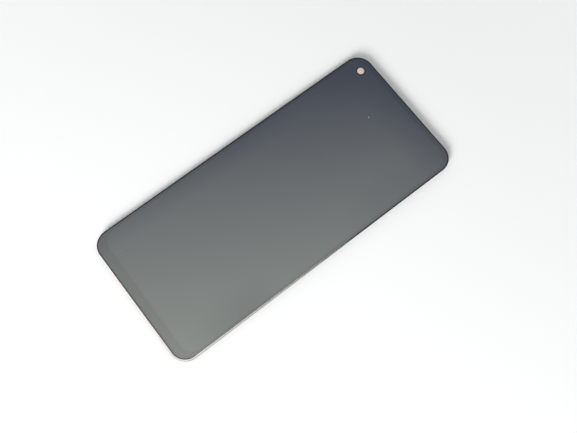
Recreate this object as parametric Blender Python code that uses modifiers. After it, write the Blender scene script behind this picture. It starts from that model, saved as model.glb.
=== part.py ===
"""Phone LCD screen assembly, the laminated module that is fitted into a phone as one piece.

The front glass carries the display cell, and the cell sits on a backlight: a pressed steel tray with a
moulded frame, a light guide, films and a row of LEDs. A flexible circuit leaves the ledge of the lower pane,
is folded round the lower end and lies on the tray's back, where it ends in the board connector.

Metres, +Z towards the viewer, +Y towards the camera end, +X to the viewer's right. The origin is at the
bottom centre of the box round the part, and the module lies face up.
"""

import math

import bmesh
import bpy
from mathutils import Matrix, Vector

MM = 0.001

# Cover glass
GLASS_WIDTH = 72.3 * MM
GLASS_LENGTH = 160.6 * MM
GLASS_THICKNESS = 0.6 * MM
GLASS_CORNER_RADIUS = 8.0 * MM
GLASS_EDGE_RADIUS = 0.42 * MM  # rounding of the front edge
GLASS_BACK_CHAMFER = 0.08 * MM
BOND_RIM_WIDTH = 0.8 * MM  # flat rim on the back, which the housing's adhesive takes

CHIN_BORDER = 5.6 * MM  # from the lower edge of the glass to the picture

# How far the display stays inside the edge of the glass
SIDE_OVERHANG = 0.95 * MM
TOP_OVERHANG = 1.0 * MM

# Gaps
LAYER_GAP = 0.015 * MM  # between two bonded layers
FIT_GAP = 0.05 * MM  # round what drops into the frame or the tray

# Thickness of each layer, from the front
ADHESIVE_THICKNESS = 0.1 * MM
UPPER_POLARISER_THICKNESS = 0.13 * MM
FILTER_GLASS_THICKNESS = 0.2 * MM
TFT_GLASS_THICKNESS = 0.2 * MM
LOWER_POLARISER_THICKNESS = 0.12 * MM
RIM_TAPE_THICKNESS = 0.05 * MM
PRISM_FILM_THICKNESS = 0.1 * MM
DIFFUSER_THICKNESS = 0.06 * MM
GUIDE_THICKNESS = 0.4 * MM
REFLECTOR_THICKNESS = 0.07 * MM
TRAY_THICKNESS = 0.12 * MM

# Display cell
CELL_SETBACK = 0.15 * MM  # lower pane inside the tray's outline
SEAL_WIDTH = 0.6 * MM  # upper pane beyond the picture at the ledge
POLARISER_SETBACK = 0.25 * MM
ADHESIVE_SETBACK = 0.1 * MM
CHIP_LENGTH = 28.0 * MM
CHIP_WIDTH = 0.9 * MM
CHIP_HEIGHT = 0.24 * MM
CHIP_FROM_FILTER = 0.25 * MM
CHIP_FROM_FLEX = 0.35 * MM
SEALANT_SIDE_SETBACK = 6.15 * MM  # from the side of the glass
SEALANT_HEIGHT = 0.14 * MM
SEALANT_GAP = 0.05 * MM

# Camera hole
CAMERA_FROM_LEFT = 8.4 * MM
CAMERA_FROM_TOP = 6.7 * MM
WINDOW_FILM_DIAMETER = 4.4 * MM
WINDOW_FILM_THICKNESS = 0.1 * MM
BORE_ROUND_FILM = 0.2 * MM  # the sleeve's bore stands this far outside the film
CELL_ROUND_BORE = 0.2 * MM  # and the holes of the cell and the tray this far outside the bore
TRAY_ROUND_BORE = 0.3 * MM
SLEEVE_WALL = 0.4 * MM
SLEEVE_FLANGE_WIDTH = 0.3 * MM
SLEEVE_FLANGE_HEIGHT = 0.12 * MM
SLEEVE_ROUNDING = 0.1 * MM

# Backlight frame
FRAME_SIDE_WALL = 0.7 * MM
FRAME_TOP_WALL = 0.8 * MM
FRAME_CHIN_WALL = 0.5 * MM
FRAME_LIP = 0.05 * MM  # the frame stands this far above the films
LATCH_LENGTH = 4.6 * MM
LATCH_REACH = 0.14 * MM
LATCH_HEIGHT = 0.35 * MM
LATCH_PLACES = (-52.0 * MM, -8.0 * MM, 40.0 * MM)

# Light guide, films and their ears
GUIDE_FROM_LED = 0.06 * MM
EAR_LENGTH = 1.6 * MM
EAR_REACH = 0.4 * MM
EAR_PLACES = (-34.0 * MM, 22.0 * MM)
FILM_STEP = 0.12 * MM  # each film is this much smaller than the one below it
FILM_FROM_STRIP = 0.1 * MM

# Back tray
TRAY_CORNER_RELIEF = 1.0 * MM  # the turned-up walls stop this far before the rounded corners
TRAY_BEND_RADIUS = 0.1 * MM  # outside of the bend between floor and walls
GAUGE_HOLE_DIAMETER = 1.4 * MM
GAUGE_HOLE_INSET = 9.0 * MM
GAUGE_HOLE_LOWER = 50.0 * MM  # of the lower one, below the middle

# LEDs and their strip
LED_PITCH = 4.3 * MM
LED_LENGTH = 3.0 * MM
LED_DEPTH = 0.6 * MM
LED_HEIGHT = 0.38 * MM
LED_RIM = 0.07 * MM
LED_CUP_TAPER = 0.035 * MM
LED_CUP_DEPTH = 0.16 * MM
LED_FROM_FRAME = 0.12 * MM
LED_FROM_STRIP_END = 1.1 * MM  # at least
STRIP_INTO_CORNER = 0.35 * MM  # the strip ends this far into the round corners
STRIP_THICKNESS = 0.08 * MM
STRIP_OVERLAP = 0.8 * MM  # of the strip on the light guide
STRIP_TAB_WIDTH = 3.4 * MM
STRIP_TAB_END = 5.0 * MM  # the folded tab reaches this far up the back
STRIP_CORNER = 0.4 * MM

# Main flexible circuit
FLEX_THICKNESS = 0.1 * MM
FLEX_SIDE_SETBACK = 12.15 * MM  # from the side of the glass
FLEX_BOND_LENGTH = 0.95 * MM  # on the ledge
FLEX_FOLD_RELIEF = 0.8 * MM
FLEX_BODY_LENGTH = 12.0 * MM  # wide area on the back
FLEX_EAR_WIDTH = 6.2 * MM
FLEX_EAR_LENGTH = 5.0 * MM
FLEX_EAR_START = 1.4 * MM
FLEX_TAIL_WIDTH = 10.5 * MM
FLEX_TAIL_X = 3.0 * MM
FLEX_TAIL_LENGTH = 27.0 * MM
FLEX_TAIL_JOG = 6.5 * MM
FLEX_JOG_LENGTH = 9.0 * MM
FLEX_CORNER = 1.2 * MM
FLEX_FILLET = 2.4 * MM
PAD_PAST_CONNECTOR_ENDS = 1.9 * MM
PAD_PAST_CONNECTOR_SIDES = 1.3 * MM
PAD_CORNER = 0.9 * MM

# What holds the circuit on the tray
TAPE_THICKNESS = 0.14 * MM  # adhesive pads, as thick as the stiffener behind the connector
TAPE_SETBACK = 1.2 * MM
STIFFENER_SETBACK = 0.15 * MM
COVER_TAPE_THICKNESS = 0.05 * MM
COVER_TAPE_FROM_PARTS = 2.15 * MM
COVER_TAPE_INSET = 1.0 * MM
GROUND_TAPE_THICKNESS = 0.05 * MM
GROUND_TAPE_WIDTH = 4.5 * MM
GROUND_TAPE_LANDING = 3.6 * MM
GROUND_TAPE_SLOPE = 0.35 * MM
GROUND_TAPE_Y = 6.0 * MM  # of the left tape, up from the lower end of the tray
GROUND_TAPE_IN = 3.0 * MM  # of the upper tape, in from the circuit's right side

# Board connector
CONNECTOR_END = 1.85 * MM  # body beyond the last contact
CONNECTOR_WIDTH = 2.6 * MM
CONNECTOR_HEIGHT = 0.72 * MM
CONNECTOR_WALL = 0.5 * MM
CONNECTOR_END_WALL = 0.9 * MM
CONNECTOR_FLOOR = 0.2 * MM
CONNECTOR_ROUNDING = 0.06 * MM
CONTACT_COUNT = 20
CONTACT_PITCH = 0.5 * MM
CONTACT_WIDTH = 0.24 * MM
CONTACT_STANDOUT = 0.06 * MM
CONTACT_FOOT = 0.35 * MM
CONTACT_FOOT_HEIGHT = 0.1 * MM
CONTACT_BELOW_RIM = 0.07 * MM
CLIP_THICKNESS = 0.12 * MM
CLIP_LEG = 0.7 * MM
CLIP_HEIGHT = 0.5 * MM

# Small parts on the circuit: how far in from its right side, and up from the lower end of the tray
CAPACITOR_LENGTH = 1.0 * MM
CAPACITOR_WIDTH = 0.5 * MM
CAPACITOR_HEIGHT = 0.45 * MM
CAPACITOR_TERMINAL = 0.26 * MM
CAPACITOR_STEP = 0.03 * MM
CAPACITOR_ROWS_UP = (3.2 * MM, 6.0 * MM)
CAPACITORS_IN = (14.0 * MM, 11.8 * MM, 9.6 * MM, 7.4 * MM)
MEMORY_SIZE = 2.4 * MM
MEMORY_HEIGHT = 0.5 * MM
MEMORY_PLACE = (2.8 * MM, 4.6 * MM)
DIODE_LENGTH = 1.6 * MM
DIODE_WIDTH = 0.8 * MM
DIODE_HEIGHT = 0.5 * MM
DIODE_PLACE = (8.8 * MM, 8.8 * MM)
PACKAGE_DRAFT = 0.1 * MM

# Fineness of round shapes
CORNER_SEGMENTS = 10
GLASS_CORNER_SEGMENTS = 20
GLASS_EDGE_SEGMENTS = 6
TRAY_BEND_SEGMENTS = 3
HOLE_SEGMENTS = 32
SLEEVE_SEGMENTS = 40
FOLD_SEGMENTS = 12
CUT_MARGIN = 1.0 * MM  # a cutter stands this far past what it cuts
WELD_DISTANCE = 0.0005 * MM  # points closer than this are one point
SMOOTH_ANGLE = math.radians(35)  # a sharper edge stays an edge in the shading

# Colour, roughness and metallic value of each finish
FINISHES = {
    "black_glass": ((0.012, 0.013, 0.014), 0.06, 0.0),
    "clear_sheet": ((0.80, 0.82, 0.83), 0.15, 0.0),
    "polariser": ((0.03, 0.032, 0.035), 0.2, 0.0),
    "cell_glass": ((0.10, 0.12, 0.12), 0.08, 0.0),
    "silicon": ((0.09, 0.09, 0.11), 0.25, 0.3),
    "sealant": ((0.55, 0.57, 0.58), 0.35, 0.0),
    "black_tape": ((0.02, 0.02, 0.021), 0.55, 0.0),
    "pale_film": ((0.83, 0.72, 0.66), 0.5, 0.0),
    "diffusing_film": ((0.86, 0.87, 0.88), 0.6, 0.0),
    "acrylic": ((0.85, 0.88, 0.88), 0.1, 0.0),
    "reflector": ((0.92, 0.92, 0.92), 0.25, 0.2),
    "white_moulding": ((0.82, 0.82, 0.80), 0.45, 0.0),
    "steel": ((0.56, 0.57, 0.58), 0.32, 1.0),
    "black_moulding": ((0.025, 0.025, 0.026), 0.5, 0.0),
    "amber_flex": ((0.34, 0.15, 0.035), 0.4, 0.0),
    "led_package": ((0.86, 0.84, 0.72), 0.4, 0.0),
    "ceramic": ((0.42, 0.31, 0.22), 0.4, 0.0),
    "package_black": ((0.03, 0.03, 0.032), 0.5, 0.0),
    "foil_tape": ((0.42, 0.42, 0.43), 0.45, 0.7),
    "connector_moulding": ((0.035, 0.035, 0.035), 0.45, 0.0),
}

# Outline of the tray, which is also that of the whole display
FILTER_EDGE = -GLASS_LENGTH / 2 + CHIN_BORDER - SEAL_WIDTH
CHIP_Y = FILTER_EDGE - CHIP_FROM_FILTER - CHIP_WIDTH / 2
FLEX_TIP = CHIP_Y - CHIP_WIDTH / 2 - CHIP_FROM_FLEX
TFT_EDGE = FLEX_TIP - FLEX_BOND_LENGTH
MODULE_LEFT = -GLASS_WIDTH / 2 + SIDE_OVERHANG
MODULE_RIGHT = GLASS_WIDTH / 2 - SIDE_OVERHANG
MODULE_BOTTOM = TFT_EDGE - CELL_SETBACK
MODULE_TOP = GLASS_LENGTH / 2 - TOP_OVERHANG
MODULE_RADIUS = GLASS_CORNER_RADIUS - SIDE_OVERHANG

CAMERA_X = -GLASS_WIDTH / 2 + CAMERA_FROM_LEFT
CAMERA_Y = GLASS_LENGTH / 2 - CAMERA_FROM_TOP
SLEEVE_BORE = WINDOW_FILM_DIAMETER + 2 * BORE_ROUND_FILM
CELL_HOLE_DIAMETER = SLEEVE_BORE + 2 * CELL_ROUND_BORE
TRAY_HOLE_DIAMETER = SLEEVE_BORE + 2 * TRAY_ROUND_BORE
SLEEVE_OUTER = SLEEVE_BORE + 2 * SLEEVE_WALL
SLEEVE_FLANGE_OUTER = SLEEVE_OUTER + 2 * SLEEVE_FLANGE_WIDTH

# Widths and lengths that follow from others
SEALANT_LENGTH = GLASS_WIDTH - 2 * SEALANT_SIDE_SETBACK
STRIP_LENGTH = GLASS_WIDTH - 2 * (GLASS_CORNER_RADIUS - STRIP_INTO_CORNER)
LED_COUNT = int((STRIP_LENGTH - LED_LENGTH - 2 * LED_FROM_STRIP_END) / LED_PITCH) + 1
FLEX_WIDTH = GLASS_WIDTH - 2 * FLEX_SIDE_SETBACK
CONNECTOR_LENGTH = (CONTACT_COUNT - 1) * CONTACT_PITCH + 2 * CONNECTOR_END
PAD_WIDTH = CONNECTOR_LENGTH + 2 * PAD_PAST_CONNECTOR_ENDS
PAD_LENGTH = CONNECTOR_WIDTH + 2 * PAD_PAST_CONNECTOR_SIDES

# Heights, from the connector's mating face upwards
FLEX_BOTTOM = CONNECTOR_HEIGHT + LAYER_GAP
FLEX_TOP = FLEX_BOTTOM + FLEX_THICKNESS
TRAY_BOTTOM = FLEX_TOP + TAPE_THICKNESS + 2 * LAYER_GAP
TRAY_TOP = TRAY_BOTTOM + TRAY_THICKNESS
REFLECTOR_BOTTOM = TRAY_TOP + LAYER_GAP
GUIDE_BOTTOM = REFLECTOR_BOTTOM + REFLECTOR_THICKNESS + LAYER_GAP
GUIDE_TOP = GUIDE_BOTTOM + GUIDE_THICKNESS
DIFFUSER_BOTTOM = GUIDE_TOP + LAYER_GAP
LOWER_PRISM_BOTTOM = DIFFUSER_BOTTOM + DIFFUSER_THICKNESS + LAYER_GAP
UPPER_PRISM_BOTTOM = LOWER_PRISM_BOTTOM + PRISM_FILM_THICKNESS + LAYER_GAP
FRAME_TOP = UPPER_PRISM_BOTTOM + PRISM_FILM_THICKNESS + FRAME_LIP
RIM_TAPE_BOTTOM = FRAME_TOP + LAYER_GAP
LOWER_POLARISER_BOTTOM = RIM_TAPE_BOTTOM + RIM_TAPE_THICKNESS + LAYER_GAP
TFT_BOTTOM = LOWER_POLARISER_BOTTOM + LOWER_POLARISER_THICKNESS + LAYER_GAP
TFT_TOP = TFT_BOTTOM + TFT_GLASS_THICKNESS
FILTER_BOTTOM = TFT_TOP + LAYER_GAP
UPPER_POLARISER_BOTTOM = FILTER_BOTTOM + FILTER_GLASS_THICKNESS + LAYER_GAP
ADHESIVE_BOTTOM = UPPER_POLARISER_BOTTOM + UPPER_POLARISER_THICKNESS + LAYER_GAP
GLASS_BOTTOM = ADHESIVE_BOTTOM + ADHESIVE_THICKNESS + LAYER_GAP

# Rows across the lower end, from the tray's edge upwards
FRAME_OUTER_SETBACK = TRAY_THICKNESS + FIT_GAP
CHIN_POCKET = MODULE_BOTTOM + FRAME_OUTER_SETBACK + FRAME_CHIN_WALL
LED_BACK = CHIN_POCKET + LED_FROM_FRAME
LED_FRONT = LED_BACK + LED_DEPTH
GUIDE_EDGE = LED_FRONT + GUIDE_FROM_LED
STRIP_EDGE = GUIDE_EDGE + STRIP_OVERLAP
FILM_EDGE = STRIP_EDGE + FILM_FROM_STRIP


class Sides:
    """A rectangle with rounded corners, given by its four sides."""

    def __init__(self, left, right, bottom, top, radius):
        self.left, self.right = left, right
        self.bottom, self.top = bottom, top
        self.radius = radius

    def inset(self, distance):
        """The same rectangle with every side moved in, its corners staying parallel."""
        return Sides(
            self.left + distance,
            self.right - distance,
            self.bottom + distance,
            self.top - distance,
            self.radius - distance,
        )

    def outline(self):
        return rounded(
            [
                (self.left, self.bottom, self.radius),
                (self.right, self.bottom, self.radius),
                (self.right, self.top, self.radius),
                (self.left, self.top, self.radius),
            ]
        )

    def outline_above(self, y):
        """The outline without what lies below a line, for a sheet that ends before the lower end."""
        points = self.outline()
        kept = []
        for here, ahead in zip(points, points[1:] + points[:1]):
            if here.y >= y:
                kept.append(here)
            if (here.y - y) * (ahead.y - y) < 0:
                kept.append(here.lerp(ahead, (y - here.y) / (ahead.y - here.y)))
        return kept


class Fold:
    """A sheet's path: flat along an upper run, half a turn round the lower end, flat along the back."""

    def __init__(self, start_y, upper_z, lower_z):
        self.start_y = start_y
        self.turn_y = MODULE_BOTTOM
        self.upper_z, self.lower_z = upper_z, lower_z
        self.radius = (upper_z - lower_z) / 2
        self.centre_z = (upper_z + lower_z) / 2
        self.turn_start = start_y - self.turn_y
        self.turn_end = self.turn_start + math.pi * self.radius

    def along(self, y):
        """Distance along the sheet to a place on the back."""
        return self.turn_end + y - self.turn_y

    def place(self, distance, height):
        """Where a point lies: distance along the sheet, height above its middle."""
        if distance <= self.turn_start:
            return self.start_y - distance, self.upper_z + height
        if distance >= self.turn_end:
            return self.turn_y + distance - self.turn_end, self.lower_z - height
        turn = (distance - self.turn_start) / self.radius
        reach = self.radius + height
        return self.turn_y - reach * math.sin(turn), self.centre_z + reach * math.cos(turn)


def clear_scene():
    for thing in list(bpy.data.objects):
        bpy.data.objects.remove(thing)
    for store in (bpy.data.meshes, bpy.data.curves, bpy.data.materials, bpy.data.collections):
        for block in list(store):
            store.remove(block)


def new_collection(name):
    group = bpy.data.collections.new(name)
    bpy.context.scene.collection.children.link(group)
    return group


def finish_material(name):
    """The named finish as a material, made once."""
    if name in bpy.data.materials:
        return bpy.data.materials[name]
    colour, roughness, metallic = FINISHES[name]
    material = bpy.data.materials.new(name)
    material.use_nodes = True
    shader = material.node_tree.nodes["Principled BSDF"]
    shader.inputs["Base Color"].default_value = (*colour, 1.0)
    shader.inputs["Roughness"].default_value = roughness
    shader.inputs["Metallic"].default_value = metallic
    material.diffuse_color = (*colour, 1.0)
    return material


def rounded(corners):
    """Outline through corner points (x, y, radius), each corner an arc that meets both sides."""
    points = []
    count = len(corners)
    for index, (x, y, radius) in enumerate(corners):
        corner = Vector((x, y))
        back = (Vector(corners[index - 1][:2]) - corner).normalized()
        ahead = (Vector(corners[(index + 1) % count][:2]) - corner).normalized()
        if radius <= 0:
            points.append(corner)
            continue
        half = back.angle(ahead) / 2
        centre = corner + (back + ahead).normalized() * (radius / math.sin(half))
        start = corner + back * (radius / math.tan(half)) - centre
        turn = math.pi - 2 * half
        steps = max(2, round(CORNER_SEGMENTS * turn / (math.pi / 2)))
        way = 1 if back.cross(ahead) < 0 else -1
        for step in range(steps + 1):
            points.append(centre + Matrix.Rotation(way * turn * step / steps, 2) @ start)
    return points


def circle(x, y, diameter, segments=HOLE_SEGMENTS):
    """Outline of a round hole or disc."""
    turns = [2 * math.pi * step / segments for step in range(segments)]
    return [Vector((x + diameter / 2 * math.cos(t), y + diameter / 2 * math.sin(t))) for t in turns]


def camera_hole(diameter):
    return circle(CAMERA_X, CAMERA_Y, diameter)


def rectangle(x_low, x_high, y_low, y_high, radius=0.0):
    return Sides(x_low, x_high, y_low, y_high, radius).outline()


def sheet_mesh(name, outlines, thickness):
    """A flat sheet cut to the first outline, with the other outlines as its holes."""
    curve = bpy.data.curves.new(name, "CURVE")
    curve.dimensions = "2D"
    curve.fill_mode = "BOTH"
    curve.extrude = thickness / 2
    for outline in outlines:
        spline = curve.splines.new("POLY")
        spline.points.add(len(outline) - 1)
        for point, place in zip(spline.points, outline):
            point.co = (place.x, place.y, 0.0, 1.0)
        spline.use_cyclic_u = True
    guide = bpy.data.objects.new(name, curve)
    mesh = bpy.data.meshes.new_from_object(guide)
    bpy.data.objects.remove(guide)
    bpy.data.curves.remove(curve)
    shape = bmesh.new()
    shape.from_mesh(mesh)
    bmesh.ops.remove_doubles(shape, verts=shape.verts, dist=WELD_DISTANCE)
    bmesh.ops.recalc_face_normals(shape, faces=shape.faces)
    shape.to_mesh(mesh)
    shape.free()
    mesh.name = name
    return mesh


def block_mesh(name, size, place=(0, 0, 0)):
    """A box of that size, centred on a place."""
    shape = bmesh.new()
    bmesh.ops.create_cube(shape, size=1.0)
    bmesh.ops.scale(shape, vec=size, verts=shape.verts)
    bmesh.ops.translate(shape, vec=place, verts=shape.verts)
    mesh = bpy.data.meshes.new(name)
    shape.to_mesh(mesh)
    shape.free()
    return mesh


def add_piece(name, mesh, finish, place=(0, 0, 0)):
    """One sub-part, in the part's collection."""
    piece = bpy.data.objects.new(name, mesh)
    piece.location = place
    mesh.materials.clear()
    mesh.materials.append(finish_material(finish))
    PARTS.objects.link(piece)
    return piece


def add_layer(name, outlines, bottom, thickness, finish):
    """A flat layer lying at a height."""
    mesh = sheet_mesh(name, outlines, thickness)
    return add_piece(name, mesh, finish, (0, 0, bottom + thickness / 2))


def add_cutter(name, mesh, place=(0, 0, 0)):
    """A guide that a Boolean reads, kept out of the part."""
    cutter = bpy.data.objects.new(name, mesh)
    cutter.location = place
    cutter.hide_render = True
    cutter.display_type = "WIRE"
    CUTTERS.objects.link(cutter)
    return cutter


def combine(piece, cutter, operation):
    step = piece.modifiers.new(f"{operation.lower()}_{cutter.name}", "BOOLEAN")
    step.operation = operation
    step.object = cutter
    step.solver = "EXACT"


def cut_block(piece, name, low, high):
    """Takes a box, given by two corners, out of a piece."""
    size = [b - a for a, b in zip(low, high)]
    middle = [(a + b) / 2 for a, b in zip(low, high)]
    combine(piece, add_cutter(name, block_mesh(name, size), middle), "DIFFERENCE")


def finished_mesh(piece):
    """The mesh of an object with its modifiers applied."""
    graph = bpy.context.evaluated_depsgraph_get()
    graph.update()
    return bpy.data.meshes.new_from_object(piece.evaluated_get(graph))


def smooth(piece):
    piece.data.shade_smooth()
    piece.data.set_sharp_from_angle(angle=SMOOTH_ANGLE)


def bevel_edges(shape, edges, radius, segments):
    bmesh.ops.bevel(
        shape, geom=edges, offset=radius, segments=segments, profile=0.5, affect="EDGES"
    )


def rounded_plate(width, length, height, corner_radius, corner_segments):
    """A plate with round corners, centred, as an open bmesh whose front and back are one face each."""
    shape = bmesh.new()
    bmesh.ops.create_cube(shape, size=1.0)
    bmesh.ops.scale(shape, vec=(width, length, height), verts=shape.verts)
    upright = [edge for edge in shape.edges if edge.verts[0].co.z * edge.verts[1].co.z < 0]
    bevel_edges(shape, upright, corner_radius, corner_segments)
    return shape


def front_face(shape):
    return max(shape.faces, key=lambda face: face.calc_center_median().z)


def back_face(shape):
    return min(shape.faces, key=lambda face: face.calc_center_median().z)


def make_cover_glass():
    """The front glass: rounded corners, a rounded front edge, a small chamfer and a flat rim behind."""
    shape = rounded_plate(
        GLASS_WIDTH, GLASS_LENGTH, GLASS_THICKNESS, GLASS_CORNER_RADIUS, GLASS_CORNER_SEGMENTS
    )
    bevel_edges(shape, list(front_face(shape).edges), GLASS_EDGE_RADIUS, GLASS_EDGE_SEGMENTS)
    bevel_edges(shape, list(back_face(shape).edges), GLASS_BACK_CHAMFER, 1)
    bmesh.ops.inset_region(shape, faces=[back_face(shape)], thickness=BOND_RIM_WIDTH)
    mesh = bpy.data.meshes.new("cover_glass")
    shape.to_mesh(mesh)
    shape.free()
    glass = add_piece("cover_glass", mesh, "black_glass", (0, 0, GLASS_BOTTOM + GLASS_THICKNESS / 2))
    smooth(glass)


def make_cell(module):
    """The display cell: two panes with their polarisers, the driver on the ledge and its sealant."""
    pane = module.inset(CELL_SETBACK)
    hole = camera_hole(CELL_HOLE_DIAMETER)
    add_layer(
        "optical_adhesive",
        [pane.inset(ADHESIVE_SETBACK).outline_above(FILTER_EDGE + ADHESIVE_SETBACK), hole],
        ADHESIVE_BOTTOM,
        ADHESIVE_THICKNESS,
        "clear_sheet",
    )
    add_layer(
        "upper_polariser",
        [pane.inset(POLARISER_SETBACK).outline_above(FILTER_EDGE + POLARISER_SETBACK), hole],
        UPPER_POLARISER_BOTTOM,
        UPPER_POLARISER_THICKNESS,
        "polariser",
    )
    add_layer(
        "colour_filter_glass",
        [pane.outline_above(FILTER_EDGE), hole],
        FILTER_BOTTOM,
        FILTER_GLASS_THICKNESS,
        "cell_glass",
    )
    add_layer("tft_glass", [pane.outline(), hole], TFT_BOTTOM, TFT_GLASS_THICKNESS, "cell_glass")
    add_layer(
        "lower_polariser",
        [pane.inset(POLARISER_SETBACK).outline(), hole],
        LOWER_POLARISER_BOTTOM,
        LOWER_POLARISER_THICKNESS,
        "polariser",
    )
    chip = block_mesh("driver_chip", (CHIP_LENGTH, CHIP_WIDTH, CHIP_HEIGHT))
    chip_z = TFT_TOP + LAYER_GAP + CHIP_HEIGHT / 2
    add_piece("driver_chip", chip, "silicon", (0, CHIP_Y, chip_z))
    around_chip = rectangle(
        -CHIP_LENGTH / 2 - SEALANT_GAP,
        CHIP_LENGTH / 2 + SEALANT_GAP,
        CHIP_Y - CHIP_WIDTH / 2 - SEALANT_GAP,
        CHIP_Y + CHIP_WIDTH / 2 + SEALANT_GAP,
    )
    bead = rectangle(
        -SEALANT_LENGTH / 2,
        SEALANT_LENGTH / 2,
        FLEX_TIP + SEALANT_GAP,
        FILTER_EDGE - SEALANT_GAP,
        SEALANT_GAP,
    )
    sealant = add_layer(
        "ledge_sealant", [bead, around_chip], TFT_TOP + LAYER_GAP, SEALANT_HEIGHT, "sealant"
    )
    smooth(sealant)


def make_camera_hole():
    """The pale film behind the window, the sleeve that lines the hole and its soft ring."""
    add_layer(
        "window_film",
        [camera_hole(WINDOW_FILM_DIAMETER)],
        GLASS_BOTTOM - LAYER_GAP - WINDOW_FILM_THICKNESS,
        WINDOW_FILM_THICKNESS,
        "pale_film",
    )
    add_layer(
        "hole_gasket",
        [camera_hole(SLEEVE_OUTER), camera_hole(SLEEVE_BORE)],
        RIM_TAPE_BOTTOM,
        RIM_TAPE_THICKNESS,
        "black_tape",
    )
    bore, tube, flange = SLEEVE_BORE / 2, SLEEVE_OUTER / 2, SLEEVE_FLANGE_OUTER / 2
    foot = TRAY_TOP + LAYER_GAP
    shoulder = foot + SLEEVE_FLANGE_HEIGHT
    profile = [
        (bore, foot),
        (bore, FRAME_TOP),
        (tube - SLEEVE_ROUNDING, FRAME_TOP),
        (tube, FRAME_TOP - SLEEVE_ROUNDING),
        (tube, shoulder),
        (flange, shoulder),
        (flange, foot),
    ]
    shape = bmesh.new()
    ring = [shape.verts.new((radius, 0, height)) for radius, height in profile]
    for index, vert in enumerate(ring):
        shape.edges.new((vert, ring[(index + 1) % len(ring)]))
    mesh = bpy.data.meshes.new("camera_sleeve")
    shape.to_mesh(mesh)
    shape.free()
    sleeve = add_piece("camera_sleeve", mesh, "black_moulding", (CAMERA_X, CAMERA_Y, 0))
    turn = sleeve.modifiers.new("turned", "SCREW")
    turn.axis = "Z"
    turn.steps = turn.render_steps = SLEEVE_SEGMENTS
    turn.use_merge_vertices = True
    turn.merge_threshold = WELD_DISTANCE
    smooth(sleeve)


def make_light_guide(window):
    """The acrylic light guide with the ears that keep it in place, and the reflector under it."""
    sides = window.inset(FIT_GAP)
    outline = sides.outline_above(GUIDE_EDGE)
    guide_hole = camera_hole(SLEEVE_FLANGE_OUTER + 2 * FIT_GAP)
    guide = add_layer("light_guide", [outline, guide_hole], GUIDE_BOTTOM, GUIDE_THICKNESS, "acrylic")
    for side, edge in ((-1, sides.left), (1, sides.right)):
        for index, y in enumerate(EAR_PLACES):
            size = (2 * EAR_REACH, EAR_LENGTH, GUIDE_THICKNESS)
            name = f"guide_ear_{'left' if side < 0 else 'right'}_{index + 1}"
            ear = add_cutter(name, block_mesh(name, size), (edge, y, GUIDE_BOTTOM + GUIDE_THICKNESS / 2))
            combine(guide, ear, "UNION")
    add_layer(
        "reflector_film", [outline, guide_hole], REFLECTOR_BOTTOM, REFLECTOR_THICKNESS, "reflector"
    )


def make_films(window):
    """Diffuser and two crossed prism films, each a little smaller than the one below."""
    stack = (
        ("diffuser_film", DIFFUSER_BOTTOM, DIFFUSER_THICKNESS, "diffusing_film"),
        ("lower_prism_film", LOWER_PRISM_BOTTOM, PRISM_FILM_THICKNESS, "diffusing_film"),
        ("upper_prism_film", UPPER_PRISM_BOTTOM, PRISM_FILM_THICKNESS, "diffusing_film"),
    )
    for index, (name, bottom, thickness, finish) in enumerate(stack):
        outline = window.inset(FIT_GAP + index * FILM_STEP).outline_above(FILM_EDGE + index * FILM_STEP)
        hole = SLEEVE_OUTER + 2 * (FIT_GAP + index * FILM_STEP)
        add_layer(name, [outline, camera_hole(hole)], bottom, thickness, finish)


def make_frame(outer, window):
    """The white moulded frame: one opening, latches on the long sides, notches for ears and strip tab."""
    bottom = TRAY_TOP + LAYER_GAP
    height = FRAME_TOP - bottom
    walls = [outer.outline(), window.outline()]
    frame = add_layer("backlight_frame", walls, bottom, height, "white_moulding")
    latch_z = bottom + height / 2
    for side, edge in ((-1, outer.left), (1, outer.right)):
        label = "left" if side < 0 else "right"
        for index, y in enumerate(LATCH_PLACES):
            name = f"latch_{label}_{index + 1}"
            shape = block_mesh(name, (2 * LATCH_REACH, LATCH_LENGTH, LATCH_HEIGHT))
            latch = add_cutter(name, shape, (edge, y, latch_z))
            combine(frame, latch, "UNION")
        inner = window.left if side < 0 else window.right
        for index, y in enumerate(EAR_PLACES):
            reach = side * (EAR_REACH + FIT_GAP)
            low_x, high_x = sorted((inner - side * CUT_MARGIN, inner + reach))
            half = EAR_LENGTH / 2 + FIT_GAP
            cut_block(
                frame,
                f"ear_notch_{label}_{index + 1}",
                (low_x, y - half, bottom - CUT_MARGIN),
                (high_x, y + half, FRAME_TOP + CUT_MARGIN),
            )
    tab = strip_tab_sides()
    cut_block(
        frame,
        "frame_tab_slot",
        (tab[0] - FIT_GAP, MODULE_BOTTOM - CUT_MARGIN, GUIDE_TOP),
        (tab[1] + FIT_GAP, CHIN_POCKET + FIT_GAP, FRAME_TOP + CUT_MARGIN),
    )


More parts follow.
